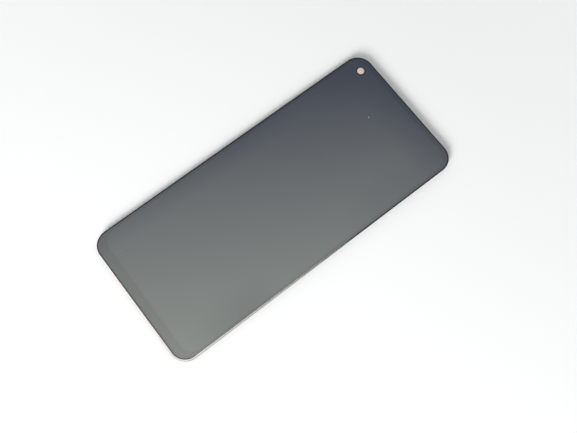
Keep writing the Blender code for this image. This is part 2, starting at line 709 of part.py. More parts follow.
def make_tray(module):
    """The pressed steel tray: walls turned up between the corners, latch windows, camera and gauge holes."""
    wall_top = FRAME_TOP - FIT_GAP
    height = wall_top - TRAY_BOTTOM
    width, length = module.right - module.left, module.top - module.bottom
    shape = rounded_plate(width, length, height, module.radius, CORNER_SEGMENTS)
    bevel_edges(shape, list(back_face(shape).edges), TRAY_BEND_RADIUS, TRAY_BEND_SEGMENTS)
    mesh = bpy.data.meshes.new("back_plate")
    shape.to_mesh(mesh)
    shape.free()
    middle_y = (module.bottom + module.top) / 2
    tray = add_piece("back_plate", mesh, "steel", (0, middle_y, TRAY_BOTTOM + height / 2))
    inner = module.inset(TRAY_THICKNESS)
    well_height = height - TRAY_THICKNESS + CUT_MARGIN
    well_mesh = sheet_mesh("tray_well", [inner.outline()], well_height)
    well = add_cutter("tray_well", well_mesh, (0, 0, TRAY_TOP + well_height / 2))
    combine(tray, well, "DIFFERENCE")
    relief = module.radius + TRAY_CORNER_RELIEF
    for label_x, x in (("left", module.left), ("right", module.right)):
        for label_y, y in (("lower", module.bottom), ("upper", module.top)):
            reach_x = relief if x < 0 else -relief
            reach_y = relief if y < 0 else -relief
            out_x = -CUT_MARGIN if x < 0 else CUT_MARGIN
            out_y = -CUT_MARGIN if y < 0 else CUT_MARGIN
            low_x, high_x = sorted((x + out_x, x + reach_x))
            low_y, high_y = sorted((y + out_y, y + reach_y))
            cut_block(
                tray,
                f"corner_relief_{label_y}_{label_x}",
                (low_x, low_y, TRAY_TOP),
                (high_x, high_y, wall_top + CUT_MARGIN),
            )
    frame_bottom = TRAY_TOP + LAYER_GAP
    latch_z = (frame_bottom + FRAME_TOP) / 2
    for label, low_x, high_x in (
        ("left", module.left - CUT_MARGIN, module.left + TRAY_THICKNESS + FIT_GAP / 2),
        ("right", module.right - TRAY_THICKNESS - FIT_GAP / 2, module.right + CUT_MARGIN),
    ):
        for index, y in enumerate(LATCH_PLACES):
            half_y = LATCH_LENGTH / 2 + FIT_GAP
            half_z = LATCH_HEIGHT / 2 + FIT_GAP
            cut_block(
                tray,
                f"latch_window_{label}_{index + 1}",
                (low_x, y - half_y, latch_z - half_z),
                (high_x, y + half_y, latch_z + half_z),
            )
    tab = strip_tab_sides()
    cut_block(
        tray,
        "tray_tab_slot",
        (tab[0] - FIT_GAP, MODULE_BOTTOM - CUT_MARGIN, GUIDE_TOP),
        (tab[1] + FIT_GAP, CHIN_POCKET, wall_top + CUT_MARGIN),
    )
    depth = TRAY_THICKNESS + 2 * CUT_MARGIN
    gauge_y = module.top - GAUGE_HOLE_INSET
    holes = {
        "tray_camera_hole": camera_hole(TRAY_HOLE_DIAMETER),
        "gauge_hole_upper": circle(module.right - GAUGE_HOLE_INSET, gauge_y, GAUGE_HOLE_DIAMETER),
        "gauge_hole_lower": circle(
            module.left + GAUGE_HOLE_INSET, -GAUGE_HOLE_LOWER, GAUGE_HOLE_DIAMETER
        ),
    }
    for name, hole in holes.items():
        punch = add_cutter(name, sheet_mesh(name, [hole], depth), (0, 0, TRAY_BOTTOM))
        combine(tray, punch, "DIFFERENCE")


def make_backlight(module):
    """Tray, frame, light guide and films, which drop into each other."""
    outer = module.inset(FRAME_OUTER_SETBACK)
    window = Sides(
        outer.left + FRAME_SIDE_WALL,
        outer.right - FRAME_SIDE_WALL,
        CHIN_POCKET,
        outer.top - FRAME_TOP_WALL,
        outer.radius - FRAME_SIDE_WALL,
    )
    make_tray(module)
    make_frame(outer, window)
    make_light_guide(window)
    make_films(window)
    add_layer(
        "rim_tape",
        [outer.outline(), window.outline_above(FILTER_EDGE)],
        RIM_TAPE_BOTTOM,
        RIM_TAPE_THICKNESS,
        "black_tape",
    )


def strip_tab_sides():
    """Left and right side of the LED strip's folded tab."""
    right = STRIP_LENGTH / 2
    return right - STRIP_TAB_WIDTH, right


def folded_sheet(name, outline, thickness, fold, finish):
    """A sheet cut flat to an outline (x, distance along it) and then folded round the lower end."""
    mesh = sheet_mesh(name, [outline], thickness)
    shape = bmesh.new()
    shape.from_mesh(mesh)
    for step in range(FOLD_SEGMENTS + 1):
        distance = fold.turn_start + (fold.turn_end - fold.turn_start) * step / FOLD_SEGMENTS
        geometry = list(shape.verts) + list(shape.edges) + list(shape.faces)
        bmesh.ops.bisect_plane(
            shape, geom=geometry, dist=WELD_DISTANCE, plane_co=(0, distance, 0), plane_no=(0, 1, 0)
        )
    for vert in shape.verts:
        vert.co.y, vert.co.z = fold.place(vert.co.y, vert.co.z)
    bmesh.ops.reverse_faces(shape, faces=shape.faces)  # folding mirrors the flat sheet
    shape.to_mesh(mesh)
    shape.free()
    piece = add_piece(name, mesh, finish)
    smooth(piece)
    return piece


def make_led_mesh():
    """One side-firing LED package: a box with a reflecting cup in its front."""
    shape = bmesh.new()
    bmesh.ops.create_cube(shape, size=1.0)
    bmesh.ops.scale(shape, vec=(LED_LENGTH, LED_DEPTH, LED_HEIGHT), verts=shape.verts)
    front = max(shape.faces, key=lambda face: face.calc_center_median().y)
    bmesh.ops.inset_region(shape, faces=[front], thickness=LED_RIM)
    bmesh.ops.inset_region(shape, faces=[front], thickness=LED_CUP_TAPER, depth=-LED_CUP_DEPTH)
    mesh = bpy.data.meshes.new("led")
    shape.to_mesh(mesh)
    shape.free()
    return mesh


def make_leds():
    """The row of LEDs and the strip that they are soldered to, with its folded tab."""
    mesh = make_led_mesh()
    height = GUIDE_TOP - LED_HEIGHT / 2
    for index in range(LED_COUNT):
        x = (index - (LED_COUNT - 1) / 2) * LED_PITCH
        add_piece(f"led_{index + 1:02d}", mesh, "led_package", (x, (LED_BACK + LED_FRONT) / 2, height))
    upper = GUIDE_TOP + LAYER_GAP + STRIP_THICKNESS / 2
    lower = FLEX_BOTTOM - LAYER_GAP - STRIP_THICKNESS / 2
    fold = Fold(STRIP_EDGE, upper, lower)
    half = STRIP_LENGTH / 2
    tab_left, tab_right = strip_tab_sides()
    strip_end = STRIP_EDGE - CHIN_POCKET - FIT_GAP
    tab_end = fold.along(MODULE_BOTTOM + STRIP_TAB_END)
    outline = rounded(
        [
            (-half, 0, STRIP_CORNER),
            (half, 0, STRIP_CORNER),
            (tab_right, tab_end, STRIP_CORNER),
            (tab_left, tab_end, STRIP_CORNER),
            (tab_left, strip_end, STRIP_CORNER / 2),
            (-half, strip_end, STRIP_CORNER),
        ]
    )
    folded_sheet("led_strip", outline, STRIP_THICKNESS, fold, "amber_flex")


def tail_sides():
    """Left and right side of the circuit's tail, below and above its jog."""
    left, right = FLEX_TAIL_X - FLEX_TAIL_WIDTH / 2, FLEX_TAIL_X + FLEX_TAIL_WIDTH / 2
    return left, right, left - FLEX_TAIL_JOG, right - FLEX_TAIL_JOG


def pad_place():
    """Middle of the connector pad on the back."""
    x = FLEX_TAIL_X - FLEX_TAIL_JOG
    y = MODULE_BOTTOM + FLEX_BODY_LENGTH + FLEX_TAIL_LENGTH + PAD_LENGTH / 2
    return x, y


def make_main_flex():
    """The main circuit: bonded tip, relieved fold, wide body with an ear, tail with a jog, and pad."""
    upper = TFT_TOP + LAYER_GAP + FLEX_THICKNESS / 2
    lower = FLEX_BOTTOM + FLEX_THICKNESS / 2
    fold = Fold(FLEX_TIP, upper, lower)
    half = FLEX_WIDTH / 2
    neck = half - FLEX_FOLD_RELIEF
    body_end = fold.along(MODULE_BOTTOM + FLEX_BODY_LENGTH)
    ear_start = fold.along(MODULE_BOTTOM + FLEX_EAR_START)
    ear_end = ear_start + FLEX_EAR_LENGTH
    ear = half + FLEX_EAR_WIDTH
    left, right, jog_left, jog_right = tail_sides()
    pad_start = body_end + FLEX_TAIL_LENGTH
    pad_end = pad_start + PAD_LENGTH
    jog_start = body_end + (FLEX_TAIL_LENGTH - FLEX_JOG_LENGTH) / 2
    jog_end = jog_start + FLEX_JOG_LENGTH
    pad_x, _ = pad_place()
    relief = FLEX_FOLD_RELIEF / 2
    outline = rounded(
        [
            (-half, 0, relief),
            (half, 0, relief),
            (half, fold.turn_start - relief, relief / 2),
            (neck, fold.turn_start, relief / 2),
            (neck, fold.turn_end, relief / 2),
            (half, fold.turn_end + relief, relief / 2),
            (half, ear_start, relief / 2),
            (ear, ear_start, FLEX_CORNER),
            (ear, ear_end, FLEX_CORNER),
            (half, ear_end, FLEX_CORNER / 2),
            (half, body_end, FLEX_CORNER),
            (right, body_end, FLEX_FILLET),
            (right, jog_start, FLEX_FILLET),
            (jog_right, jog_end, FLEX_FILLET),
            (jog_right, pad_start, PAD_CORNER),
            (pad_x + PAD_WIDTH / 2, pad_start, PAD_CORNER),
            (pad_x + PAD_WIDTH / 2, pad_end, PAD_CORNER),
            (pad_x - PAD_WIDTH / 2, pad_end, PAD_CORNER),
            (pad_x - PAD_WIDTH / 2, pad_start, PAD_CORNER),
            (jog_left, pad_start, PAD_CORNER),
            (jog_left, jog_end, FLEX_FILLET),
            (left, jog_start, FLEX_FILLET),
            (left, body_end, FLEX_FILLET),
            (-half, body_end, FLEX_CORNER),
            (-half, fold.turn_end + relief, relief / 2),
            (-neck, fold.turn_end, relief / 2),
            (-neck, fold.turn_start, relief / 2),
            (-half, fold.turn_start - relief, relief / 2),
        ]
    )
    folded_sheet("main_flex", outline, FLEX_THICKNESS, fold, "amber_flex")


def make_tapes():
    """The pads that hold the circuit on the tray, the stiffener and the black cover film."""
    pad_bottom = FLEX_TOP + LAYER_GAP
    half = FLEX_WIDTH / 2 - TAPE_SETBACK
    low = MODULE_BOTTOM + TAPE_SETBACK
    high = MODULE_BOTTOM + FLEX_BODY_LENGTH - TAPE_SETBACK
    body_pad = rectangle(-half, half, low, high, FLEX_CORNER)
    add_layer("flex_tape", [body_pad], pad_bottom, TAPE_THICKNESS, "black_tape")
    _, _, jog_left, jog_right = tail_sides()
    pad_x, pad_y = pad_place()
    tail_high = pad_y - PAD_LENGTH / 2 - TAPE_SETBACK
    tail_low = tail_high - (FLEX_TAIL_LENGTH - FLEX_JOG_LENGTH) / 2 + 2 * TAPE_SETBACK
    tail_left, tail_right = jog_left + TAPE_SETBACK, jog_right - TAPE_SETBACK
    tail_pad = rectangle(tail_left, tail_right, tail_low, tail_high, FLEX_CORNER / 2)
    add_layer("tail_tape", [tail_pad], pad_bottom, TAPE_THICKNESS, "black_tape")
    stiff_x = PAD_WIDTH / 2 - STIFFENER_SETBACK
    stiff_y = PAD_LENGTH / 2 - STIFFENER_SETBACK
    stiff = rectangle(pad_x - stiff_x, pad_x + stiff_x, pad_y - stiff_y, pad_y + stiff_y, PAD_CORNER)
    add_layer("connector_stiffener", [stiff], pad_bottom, TAPE_THICKNESS, "steel")
    first_capacitor = FLEX_WIDTH / 2 - CAPACITORS_IN[0] - CAPACITOR_WIDTH / 2
    cover = rectangle(
        -FLEX_WIDTH / 2 + GROUND_TAPE_LANDING + COVER_TAPE_INSET,
        first_capacitor - COVER_TAPE_FROM_PARTS,
        MODULE_BOTTOM + COVER_TAPE_INSET,
        MODULE_BOTTOM + FLEX_BODY_LENGTH - COVER_TAPE_INSET,
        FLEX_CORNER / 2,
    )
    cover_bottom = FLEX_BOTTOM - LAYER_GAP - COVER_TAPE_THICKNESS
    add_layer("fold_cover_tape", [cover], cover_bottom, COVER_TAPE_THICKNESS, "black_tape")


def make_ground_tape(name, edge, place, turn):
    """Conductive tape that steps from the circuit's edge up to the tray, along its own +X."""
    on_flex = FLEX_BOTTOM - LAYER_GAP - GROUND_TAPE_THICKNESS / 2
    on_tray = TRAY_BOTTOM - LAYER_GAP - GROUND_TAPE_THICKNESS / 2
    start = edge + GROUND_TAPE_THICKNESS + FIT_GAP
    path = [
        (edge - GROUND_TAPE_LANDING, on_flex),
        (start, on_flex),
        (start + GROUND_TAPE_SLOPE, on_tray),
        (start + GROUND_TAPE_SLOPE + GROUND_TAPE_LANDING, on_tray),
    ]
    shape = bmesh.new()
    line = [shape.verts.new((x, -GROUND_TAPE_WIDTH / 2, z)) for x, z in path]
    edges = [shape.edges.new(pair) for pair in zip(line, line[1:])]
    grown = bmesh.ops.extrude_edge_only(shape, edges=edges)["geom"]
    moved = [item for item in grown if isinstance(item, bmesh.types.BMVert)]
    bmesh.ops.translate(shape, vec=(0, GROUND_TAPE_WIDTH, 0), verts=moved)
    bmesh.ops.recalc_face_normals(shape, faces=shape.faces)
    mesh = bpy.data.meshes.new(name)
    shape.to_mesh(mesh)
    shape.free()
    tape = add_piece(name, mesh, "foil_tape", place)
    tape.rotation_euler.z = turn
    wall = tape.modifiers.new("tape_thickness", "SOLIDIFY")
    wall.thickness = GROUND_TAPE_THICKNESS
    wall.offset = 0.0
    wall.use_even_offset = True


def make_ground_tapes():
    half = FLEX_WIDTH / 2
    make_ground_tape("ground_tape_left", half, (0, MODULE_BOTTOM + GROUND_TAPE_Y, 0), math.pi)
    body_top = MODULE_BOTTOM + FLEX_BODY_LENGTH
    make_ground_tape("ground_tape_upper", 0, (half - GROUND_TAPE_IN, body_top, 0), math.pi / 2)


def make_connector():
    """The board connector: a moulded body with a long well, two rows of contacts and a clip at each end."""
    pad_x, pad_y = pad_place()
    body_mesh = block_mesh("board_connector", (CONNECTOR_LENGTH, CONNECTOR_WIDTH, CONNECTOR_HEIGHT))
    body = add_piece(
        "board_connector", body_mesh, "connector_moulding", (pad_x, pad_y, CONNECTOR_HEIGHT / 2)
    )
    rounding = body.modifiers.new("rounded_edges", "BEVEL")
    rounding.width = CONNECTOR_ROUNDING
    rounding.segments = 1
    well_depth = CONNECTOR_HEIGHT - CONNECTOR_FLOOR
    half_x = CONNECTOR_LENGTH / 2 - CONNECTOR_END_WALL
    half_y = CONNECTOR_WIDTH / 2 - CONNECTOR_WALL
    cut_block(
        body,
        "connector_well",
        (pad_x - half_x, pad_y - half_y, -CUT_MARGIN),
        (pad_x + half_x, pad_y + half_y, well_depth),
    )
    inner = CONNECTOR_WIDTH / 2 - CONNECTOR_WALL - CONTACT_STANDOUT
    outer = CONNECTOR_WIDTH / 2 + CONTACT_STANDOUT
    foot = CONNECTOR_WIDTH / 2 + CONTACT_FOOT
    section = [
        Vector((inner, CONTACT_BELOW_RIM)),
        Vector((outer, CONTACT_BELOW_RIM)),
        Vector((outer, CONNECTOR_HEIGHT - CONTACT_FOOT_HEIGHT)),
        Vector((foot, CONNECTOR_HEIGHT - CONTACT_FOOT_HEIGHT)),
        Vector((foot, CONNECTOR_HEIGHT)),
        Vector((inner, CONNECTOR_HEIGHT)),
    ]
    mesh = sheet_mesh("contact_row", [section], CONTACT_WIDTH)
    mesh.transform(Matrix(((0, 0, 1, 0), (1, 0, 0, 0), (0, 1, 0, 0), (0, 0, 0, 1))))
    first = pad_x - (CONTACT_COUNT - 1) / 2 * CONTACT_PITCH
    row = add_cutter("contact_row", mesh, (first, pad_y, 0))
    copies = row.modifiers.new("along_the_wall", "ARRAY")
    copies.count = CONTACT_COUNT
    copies.use_relative_offset = False
    copies.use_constant_offset = True
    copies.constant_offset_displace = (CONTACT_PITCH, 0, 0)
    other = row.modifiers.new("other_wall", "MIRROR")
    other.use_axis = (False, True, False)
    other.use_mirror_merge = False
    combine(body, row, "UNION")
    make_connector_clips(pad_x, pad_y)


def make_connector_clips(pad_x, pad_y):
    """The metal clip round each end of the connector, a C in plan."""
    gap = FIT_GAP
    for side, label in ((-1, "left"), (1, "right")):
        end = CONNECTOR_LENGTH / 2 + gap
        wall = CONNECTOR_WIDTH / 2 + gap
        leg = end - CLIP_LEG
        t = CLIP_THICKNESS
        plan = [(leg, -wall), (leg, -wall - t), (end + t, -wall - t), (end + t, wall + t), (leg, wall + t)]
        plan += [(leg, wall), (end, wall), (end, -wall)]
        points = [Vector((pad_x + side * x, pad_y + y)) for x, y in plan]
        bottom = CONNECTOR_HEIGHT - CLIP_HEIGHT
        add_layer(f"connector_clip_{label}", [points], bottom, CLIP_HEIGHT, "steel")


def capacitor_mesh():
    """A chip capacitor: ceramic middle and two slightly larger metal ends, as one body."""
    middle_size = (
        CAPACITOR_LENGTH - CAPACITOR_TERMINAL,
        CAPACITOR_WIDTH - 2 * CAPACITOR_STEP,
        CAPACITOR_HEIGHT - 2 * CAPACITOR_STEP,
    )
    middle = add_cutter("capacitor_middle", block_mesh("capacitor_middle", middle_size))
    reach = (CAPACITOR_LENGTH - CAPACITOR_TERMINAL) / 2
    for side, label in ((-1, "left"), (1, "right")):
        size = (CAPACITOR_TERMINAL, CAPACITOR_WIDTH, CAPACITOR_HEIGHT)
        end = add_cutter(f"terminal_{label}", block_mesh(f"terminal_{label}", size), (side * reach, 0, 0))
        combine(middle, end, "UNION")
    return finished_mesh(middle)


def package_mesh(name, length, width, height):
    """A moulded package whose sides draw in towards the free face."""
    shape = bmesh.new()
    bmesh.ops.create_cube(shape, size=1.0)
    bmesh.ops.scale(shape, vec=(length, width, height), verts=shape.verts)
    for vert in shape.verts:
        if vert.co.z < 0:
            vert.co.x -= math.copysign(PACKAGE_DRAFT, vert.co.x)
            vert.co.y -= math.copysign(PACKAGE_DRAFT, vert.co.y)
    mesh = bpy.data.meshes.new(name)
    shape.to_mesh(mesh)
    shape.free()
    return mesh


def on_circuit(place, height):
    """Centre of a small part that hangs under the circuit, from its place and its own height."""
    inward, up = place
    return FLEX_WIDTH / 2 - inward, MODULE_BOTTOM + up, FLEX_BOTTOM - LAYER_GAP - height / 2


def make_small_parts():
    """Capacitors in two rows, a memory chip and a diode, hanging under the circuit's lower face."""
    mesh = capacitor_mesh()
    places = [(inward, up) for up in CAPACITOR_ROWS_UP for inward in CAPACITORS_IN]
    for index, place in enumerate(places):
        spot = on_circuit(place, CAPACITOR_HEIGHT)
        part = add_piece(f"capacitor_{index + 1}", mesh, "ceramic", spot)
        part.rotation_euler.z = math.pi / 2
    memory = package_mesh("memory_chip", MEMORY_SIZE, MEMORY_SIZE, MEMORY_HEIGHT)
    add_piece("memory_chip", memory, "package_black", on_circuit(MEMORY_PLACE, MEMORY_HEIGHT))
    diode = package_mesh("diode", DIODE_LENGTH, DIODE_WIDTH, DIODE_HEIGHT)
    add_piece("diode", diode, "package_black", on_circuit(DIODE_PLACE, DIODE_HEIGHT))


clear_scene()
PARTS = new_collection("phone_lcd_screen_assembly")
CUTTERS = new_collection("cutters")
MODULE = Sides(MODULE_LEFT, MODULE_RIGHT, MODULE_BOTTOM, MODULE_TOP, MODULE_RADIUS)
make_cover_glass()
make_cell(MODULE)
make_camera_hole()
make_backlight(MODULE)
make_leds()
make_main_flex()
make_tapes()
make_ground_tapes()
make_connector()
make_small_parts()
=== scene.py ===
"""Looks of a phone LCD screen assembly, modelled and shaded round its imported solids.

Each operator makes or finishes one group of pieces, and main() runs them in order. Lengths are in metres,
+Z towards the viewer, +Y towards the camera end and +X to the viewer's right.
"""

import math
from contextlib import contextmanager
from functools import partialmethod

import bmesh
import bpy
from bpy.props import FloatProperty, FloatVectorProperty, IntProperty, PointerProperty
from mathutils import Matrix, Quaternion, Vector


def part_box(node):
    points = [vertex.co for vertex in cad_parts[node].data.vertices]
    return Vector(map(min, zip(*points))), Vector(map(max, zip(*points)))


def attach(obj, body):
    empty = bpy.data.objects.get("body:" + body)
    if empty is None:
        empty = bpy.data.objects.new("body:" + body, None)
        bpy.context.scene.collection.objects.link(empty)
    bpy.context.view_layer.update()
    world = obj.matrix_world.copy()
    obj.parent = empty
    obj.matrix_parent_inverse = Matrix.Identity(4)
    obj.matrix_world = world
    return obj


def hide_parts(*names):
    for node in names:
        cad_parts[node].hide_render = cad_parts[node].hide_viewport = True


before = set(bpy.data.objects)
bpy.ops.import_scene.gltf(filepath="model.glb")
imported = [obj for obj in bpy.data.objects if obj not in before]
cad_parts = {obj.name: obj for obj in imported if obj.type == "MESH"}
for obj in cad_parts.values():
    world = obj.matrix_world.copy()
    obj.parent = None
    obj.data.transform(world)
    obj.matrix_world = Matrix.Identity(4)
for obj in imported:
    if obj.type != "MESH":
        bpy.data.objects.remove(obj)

bl_info = {
    "name": "Phone LCD Screen Assembly",
    "version": (1, 0, 0),
    "blender": (4, 5, 0),
    "location": "View3D > Sidebar > LCD Screen",
    "description": "Models a phone display: cover glass, cell, backlight, folded circuit and connector",
    "category": "Add Mesh",
}

MM = 0.001
TINY = 0.001 * MM
SMOOTH_ANGLE = math.radians(35)
PAST = 1 * MM  # a cutter stands this far past what it cuts
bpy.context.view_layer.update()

# Places taken from the solids
GLASS_LOW, GLASS_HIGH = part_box("cover_glass")
TRAY_LOW, TRAY_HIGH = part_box("back_plate")
CIRCUIT_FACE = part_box("main_flex")[0].z
WINDOW = sum(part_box("window_film"), Vector()) / 2
CONNECTOR = sum(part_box("board_connector"), Vector()) / 2

# Tray: the latches along y, the gauge holes, and what the LED strip's tab passes through
LATCH_PLACES = (-52 * MM, -8 * MM, 40 * MM)
GAUGE_HOLES = ((26.2 * MM, 70.3 * MM), (-26.2 * MM, -50 * MM))
STRIP_TAB = (25.15 * MM, 28.55 * MM)
CHIN_POCKET = TRAY_LOW.y + 0.67 * MM
LED_PITCH = 4.3 * MM

# Circuit: its wide part, and the tail that steps aside on its way to the connector
CIRCUIT_HALF = 24 * MM
BODY_TOP = TRAY_LOW.y + 12 * MM
TAIL_X, TAIL_HALF, TAIL_JOG = 3 * MM, 4.75 * MM, 6.5 * MM
JOG_START, JOG_LENGTH = TRAY_LOW.y + 21 * MM, 9 * MM
EAR_PAD, BODY_PAD = (25.2 * MM, TRAY_LOW.y + 2.75 * MM), (10.5 * MM, BODY_TOP - 1.3 * MM)
HATCH_PITCH = 0.8 * MM
WEAVE_PITCH = 0.22 * MM
CAPACITORS = [f"capacitor_{number}" for number in range(1, 9)]

# Softness of the edges of what is printed behind the glass, and of the band along the edge with its painted
# highlight
PRINT_SOFTNESS = 0.12 * MM
HIGHLIGHT_SOFTNESS = 0.06 * MM

# Dust on the front: x, y, radius, and how strongly each shows
SPECKS = (
    (-6.2 * MM, 61 * MM, 0.19 * MM, 0.75),
    (-6.3 * MM, 8.3 * MM, 0.12 * MM, 0.16),
    (14.5 * MM, 33 * MM, 0.1 * MM, 0.1),
)
DUST = (0.8, 0.8, 0.78)
SMUDGE = (-22.7 * MM, -69.5 * MM, 0.5 * MM)

FLOOR_SIZE = 8.0
CEILING_SIZE = 1.8
CEILING_HEIGHT = 0.6
CEILING_STRENGTH = 6.25
LOW_PANEL_HEIGHT = -0.7
SIDE_LAMP_PLACE = (0.5, -0.92, 0.6)
SIDE_LAMP_SIZE = 0.5
SIDE_LAMP_ENERGY = 17.0
WORLD_LIGHT = 0.45

# Uneven places of the overhead light: x, y, radius, softness, stretch along y, and how much duller each is
UNEVEN_PLACES = (
    (-0.03, 0.0, 0.035, 0.06, 1.0, 0.08),
    (-0.045, -0.025, 0.022, 0.035, 0.5, 0.1),
    (-0.03, 0.25, 0.035, 0.06, 0.6, 0.1),
    (-0.05, -0.105, 0.02, 0.07, 1.0, -0.06),
)
CEILING_MIDDLE = (-0.1, 0.08)


def measure(name, description, default, unit, subtype, **limits):
    """A number that the user can change, in a unit."""
    kind = {"precision": 5, "unit": unit, "subtype": subtype, **limits}
    return FloatProperty(name=name, description=description, default=default, **kind)


def length(name, description, default):
    """A length that the user can change, its default in millimetres."""
    return measure(name, description, default * MM, "LENGTH", "DISTANCE", min=0.0)


def place(name, description, default):
    """A point that the user can change, its default in millimetres."""
    default = tuple(value * MM for value in default)
    units = {"size": 3, "precision": 5, "unit": "LENGTH", "subtype": "TRANSLATION"}
    return FloatVectorProperty(name=name, description=description, default=default, **units)


def colour(name, description, default):
    """A colour that the user can change."""
    kind = {"size": 3, "min": 0.0, "max": 1.0, "subtype": "COLOR"}
    return FloatVectorProperty(name=name, description=description, default=default, **kind)


def count(name, description, default):
    """A count that the user can change."""
    return IntProperty(name=name, description=description, default=default, min=1)


class GlassSettings(bpy.types.PropertyGroup):
    corner_radius: length("Corner radius", "Radius of the corners in plan", 8)
    corner_steps: count("Corner steps", "Facets in each corner", 40)
    edge_width: length("Edge width", "Width over which the edge falls", 0.8)
    edge_depth: length("Edge depth", "How far the edge falls", 0.42)
    edge_steps: count("Edge steps", "Facets across the edge", 12)
    back_chamfer: length("Back chamfer", "Chamfer of the back edge", 0.08)
    side_border: length("Side border", "Border along the long sides", 2)
    top_border: length("Top border", "Border at the camera end", 3)
    chin_border: length("Chin border", "Border at the lower end", 5.6)
    window_diameter: length("Camera window", "Diameter of the clear window", 3.45)
    ring_diameter: length("Window ring", "Outer diameter of the dark ring", 4.9)
    ink: colour("Ink", "Black print behind the glass", (0.012, 0.013, 0.014))
    picture: colour("Picture", "Display area, switched off", (0.015, 0.0165, 0.019))
    # Painted highlight: the light colour of the band along the glass edge, standing in for light that
    # catches the rounded edge
    rim_highlight_colour: colour("Clear edge", "Edge that the ink misses", (0.66, 0.6, 0.58))
    window_film: colour("Window film", "Pale film in the camera window", (0.72, 0.6, 0.53))
    window_shade: colour("Window film in shade", "The film towards the camera end", (0.55, 0.42, 0.33))
    ring: colour("Window ring", "Dark ring round the window", (0.012, 0.008, 0.009))


class TraySettings(bpy.types.PropertyGroup):
    corner_radius: length("Corner radius", "Radius of the corners in plan", 7.05)
    corner_steps: count("Corner steps", "Facets in each corner", 28)
    bend_radius: length("Bend radius", "Bend between floor and walls", 0.1)
    sheet: length("Sheet thickness", "Thickness of the steel sheet", 0.12)
    corner_relief: length("Corner relief", "Walls stop this far before the corners", 1)
    latch_length: length("Latch window length", "Length of each latch window", 4.7)
    latch_height: length("Latch window height", "Height of each latch window", 0.45)
    camera_hole: length("Camera hole", "Diameter of the camera hole", 5.4)
    gauge_hole: length("Gauge hole", "Diameter of the two gauge holes", 1.4)
    steel: colour("Steel", "Rolled steel sheet", (0.56, 0.57, 0.58))


class CircuitSettings(bpy.types.PropertyGroup):
    pad_diameter: length("Test pad", "Diameter of the gilt test pads", 0.9)
    track_pitch: length("Track pitch", "Distance between tracks in the tail", 0.42)
    fine_pitch: length("Fine track pitch", "Distance between tracks at the fold", 0.24)
    ground_tape_width: length("Ground tape width", "Width of the conductive tapes", 4.5)
    film: colour("Film", "Polyimide film with nothing under it", (0.36, 0.15, 0.03))
    copper: colour("Copper", "Copper seen through the film", (0.56, 0.25, 0.07))
    gilt: colour("Gilt", "Gold plating of pads and contacts", (0.83, 0.6, 0.26))
    cloth: colour("Conductive cloth", "Metal-coated cloth", (0.42, 0.42, 0.43))


class ConnectorSettings(bpy.types.PropertyGroup):
    contacts: count("Contacts", "Contacts in each row", 20)
    pitch: length("Pitch", "Distance between contacts", 0.5)
    contact_width: length("Contact width", "Width of one contact", 0.24)
    contact_sheet: length("Contact thickness", "Thickness of the contact strip", 0.06)
    body_length: length("Body length", "Length of the moulding", 13.2)
    body_width: length("Body width", "Width of the moulding", 2.6)
    body_height: length("Body height", "Height of the moulding", 0.72)
    side_wall: length("Side wall", "Thickness of the long walls", 0.5)
    end_wall: length("End wall", "Thickness of the end walls", 0.9)
    well_depth: length("Well depth", "Depth of the well between the walls", 0.52)
    moulding: colour("Moulding", "Black moulding", (0.035, 0.035, 0.036))


class PartSettings(bpy.types.PropertyGroup):
    terminal: length("Terminal", "Length of each tinned end", 0.26)
    step: length("Terminal step", "The ends stand this far past the ceramic", 0.03)
    fillet: length("Solder fillet", "Reach of the solder past each end", 0.16)
    ceramic: colour("Ceramic", "Fired ceramic of the capacitors", (0.4, 0.29, 0.2))
    tin: colour("Tin", "Tinned ends and solder", (0.72, 0.72, 0.71))
    epoxy: colour("Epoxy", "Moulded packages", (0.03, 0.03, 0.032))


class StageSettings(bpy.types.PropertyGroup):
    floor_colour: colour("Floor", "Plain pale floor", (0.93, 0.93, 0.93))
    low_dim: colour("Low panel, dim", "Dim parts of the low panel", (0.22, 0.23, 0.25))
    low_bright: colour("Low panel, bright", "Bright parts of the low panel", (1.0, 1.0, 1.0))
    dim_glow: colour("Dim glow", "The overhead light at its far side", (0.146, 0.169, 0.238))
    bright_glow: colour("Bright glow", "The overhead light at its near side", (0.946, 1.0, 0.918))
    camera_place: place("Camera place", "Where the camera stands", (79.43, -63.6, 337.54))
    camera_target: place("Camera target", "Middle of the picture", (9.624, -0.341, 3.0))
    camera_roll: measure("Camera roll", "Turn about the view", math.radians(4.679), "ROTATION", "ANGLE")
    lens: measure("Lens", "Focal length in millimetres", 46.48, "CAMERA", "NONE")


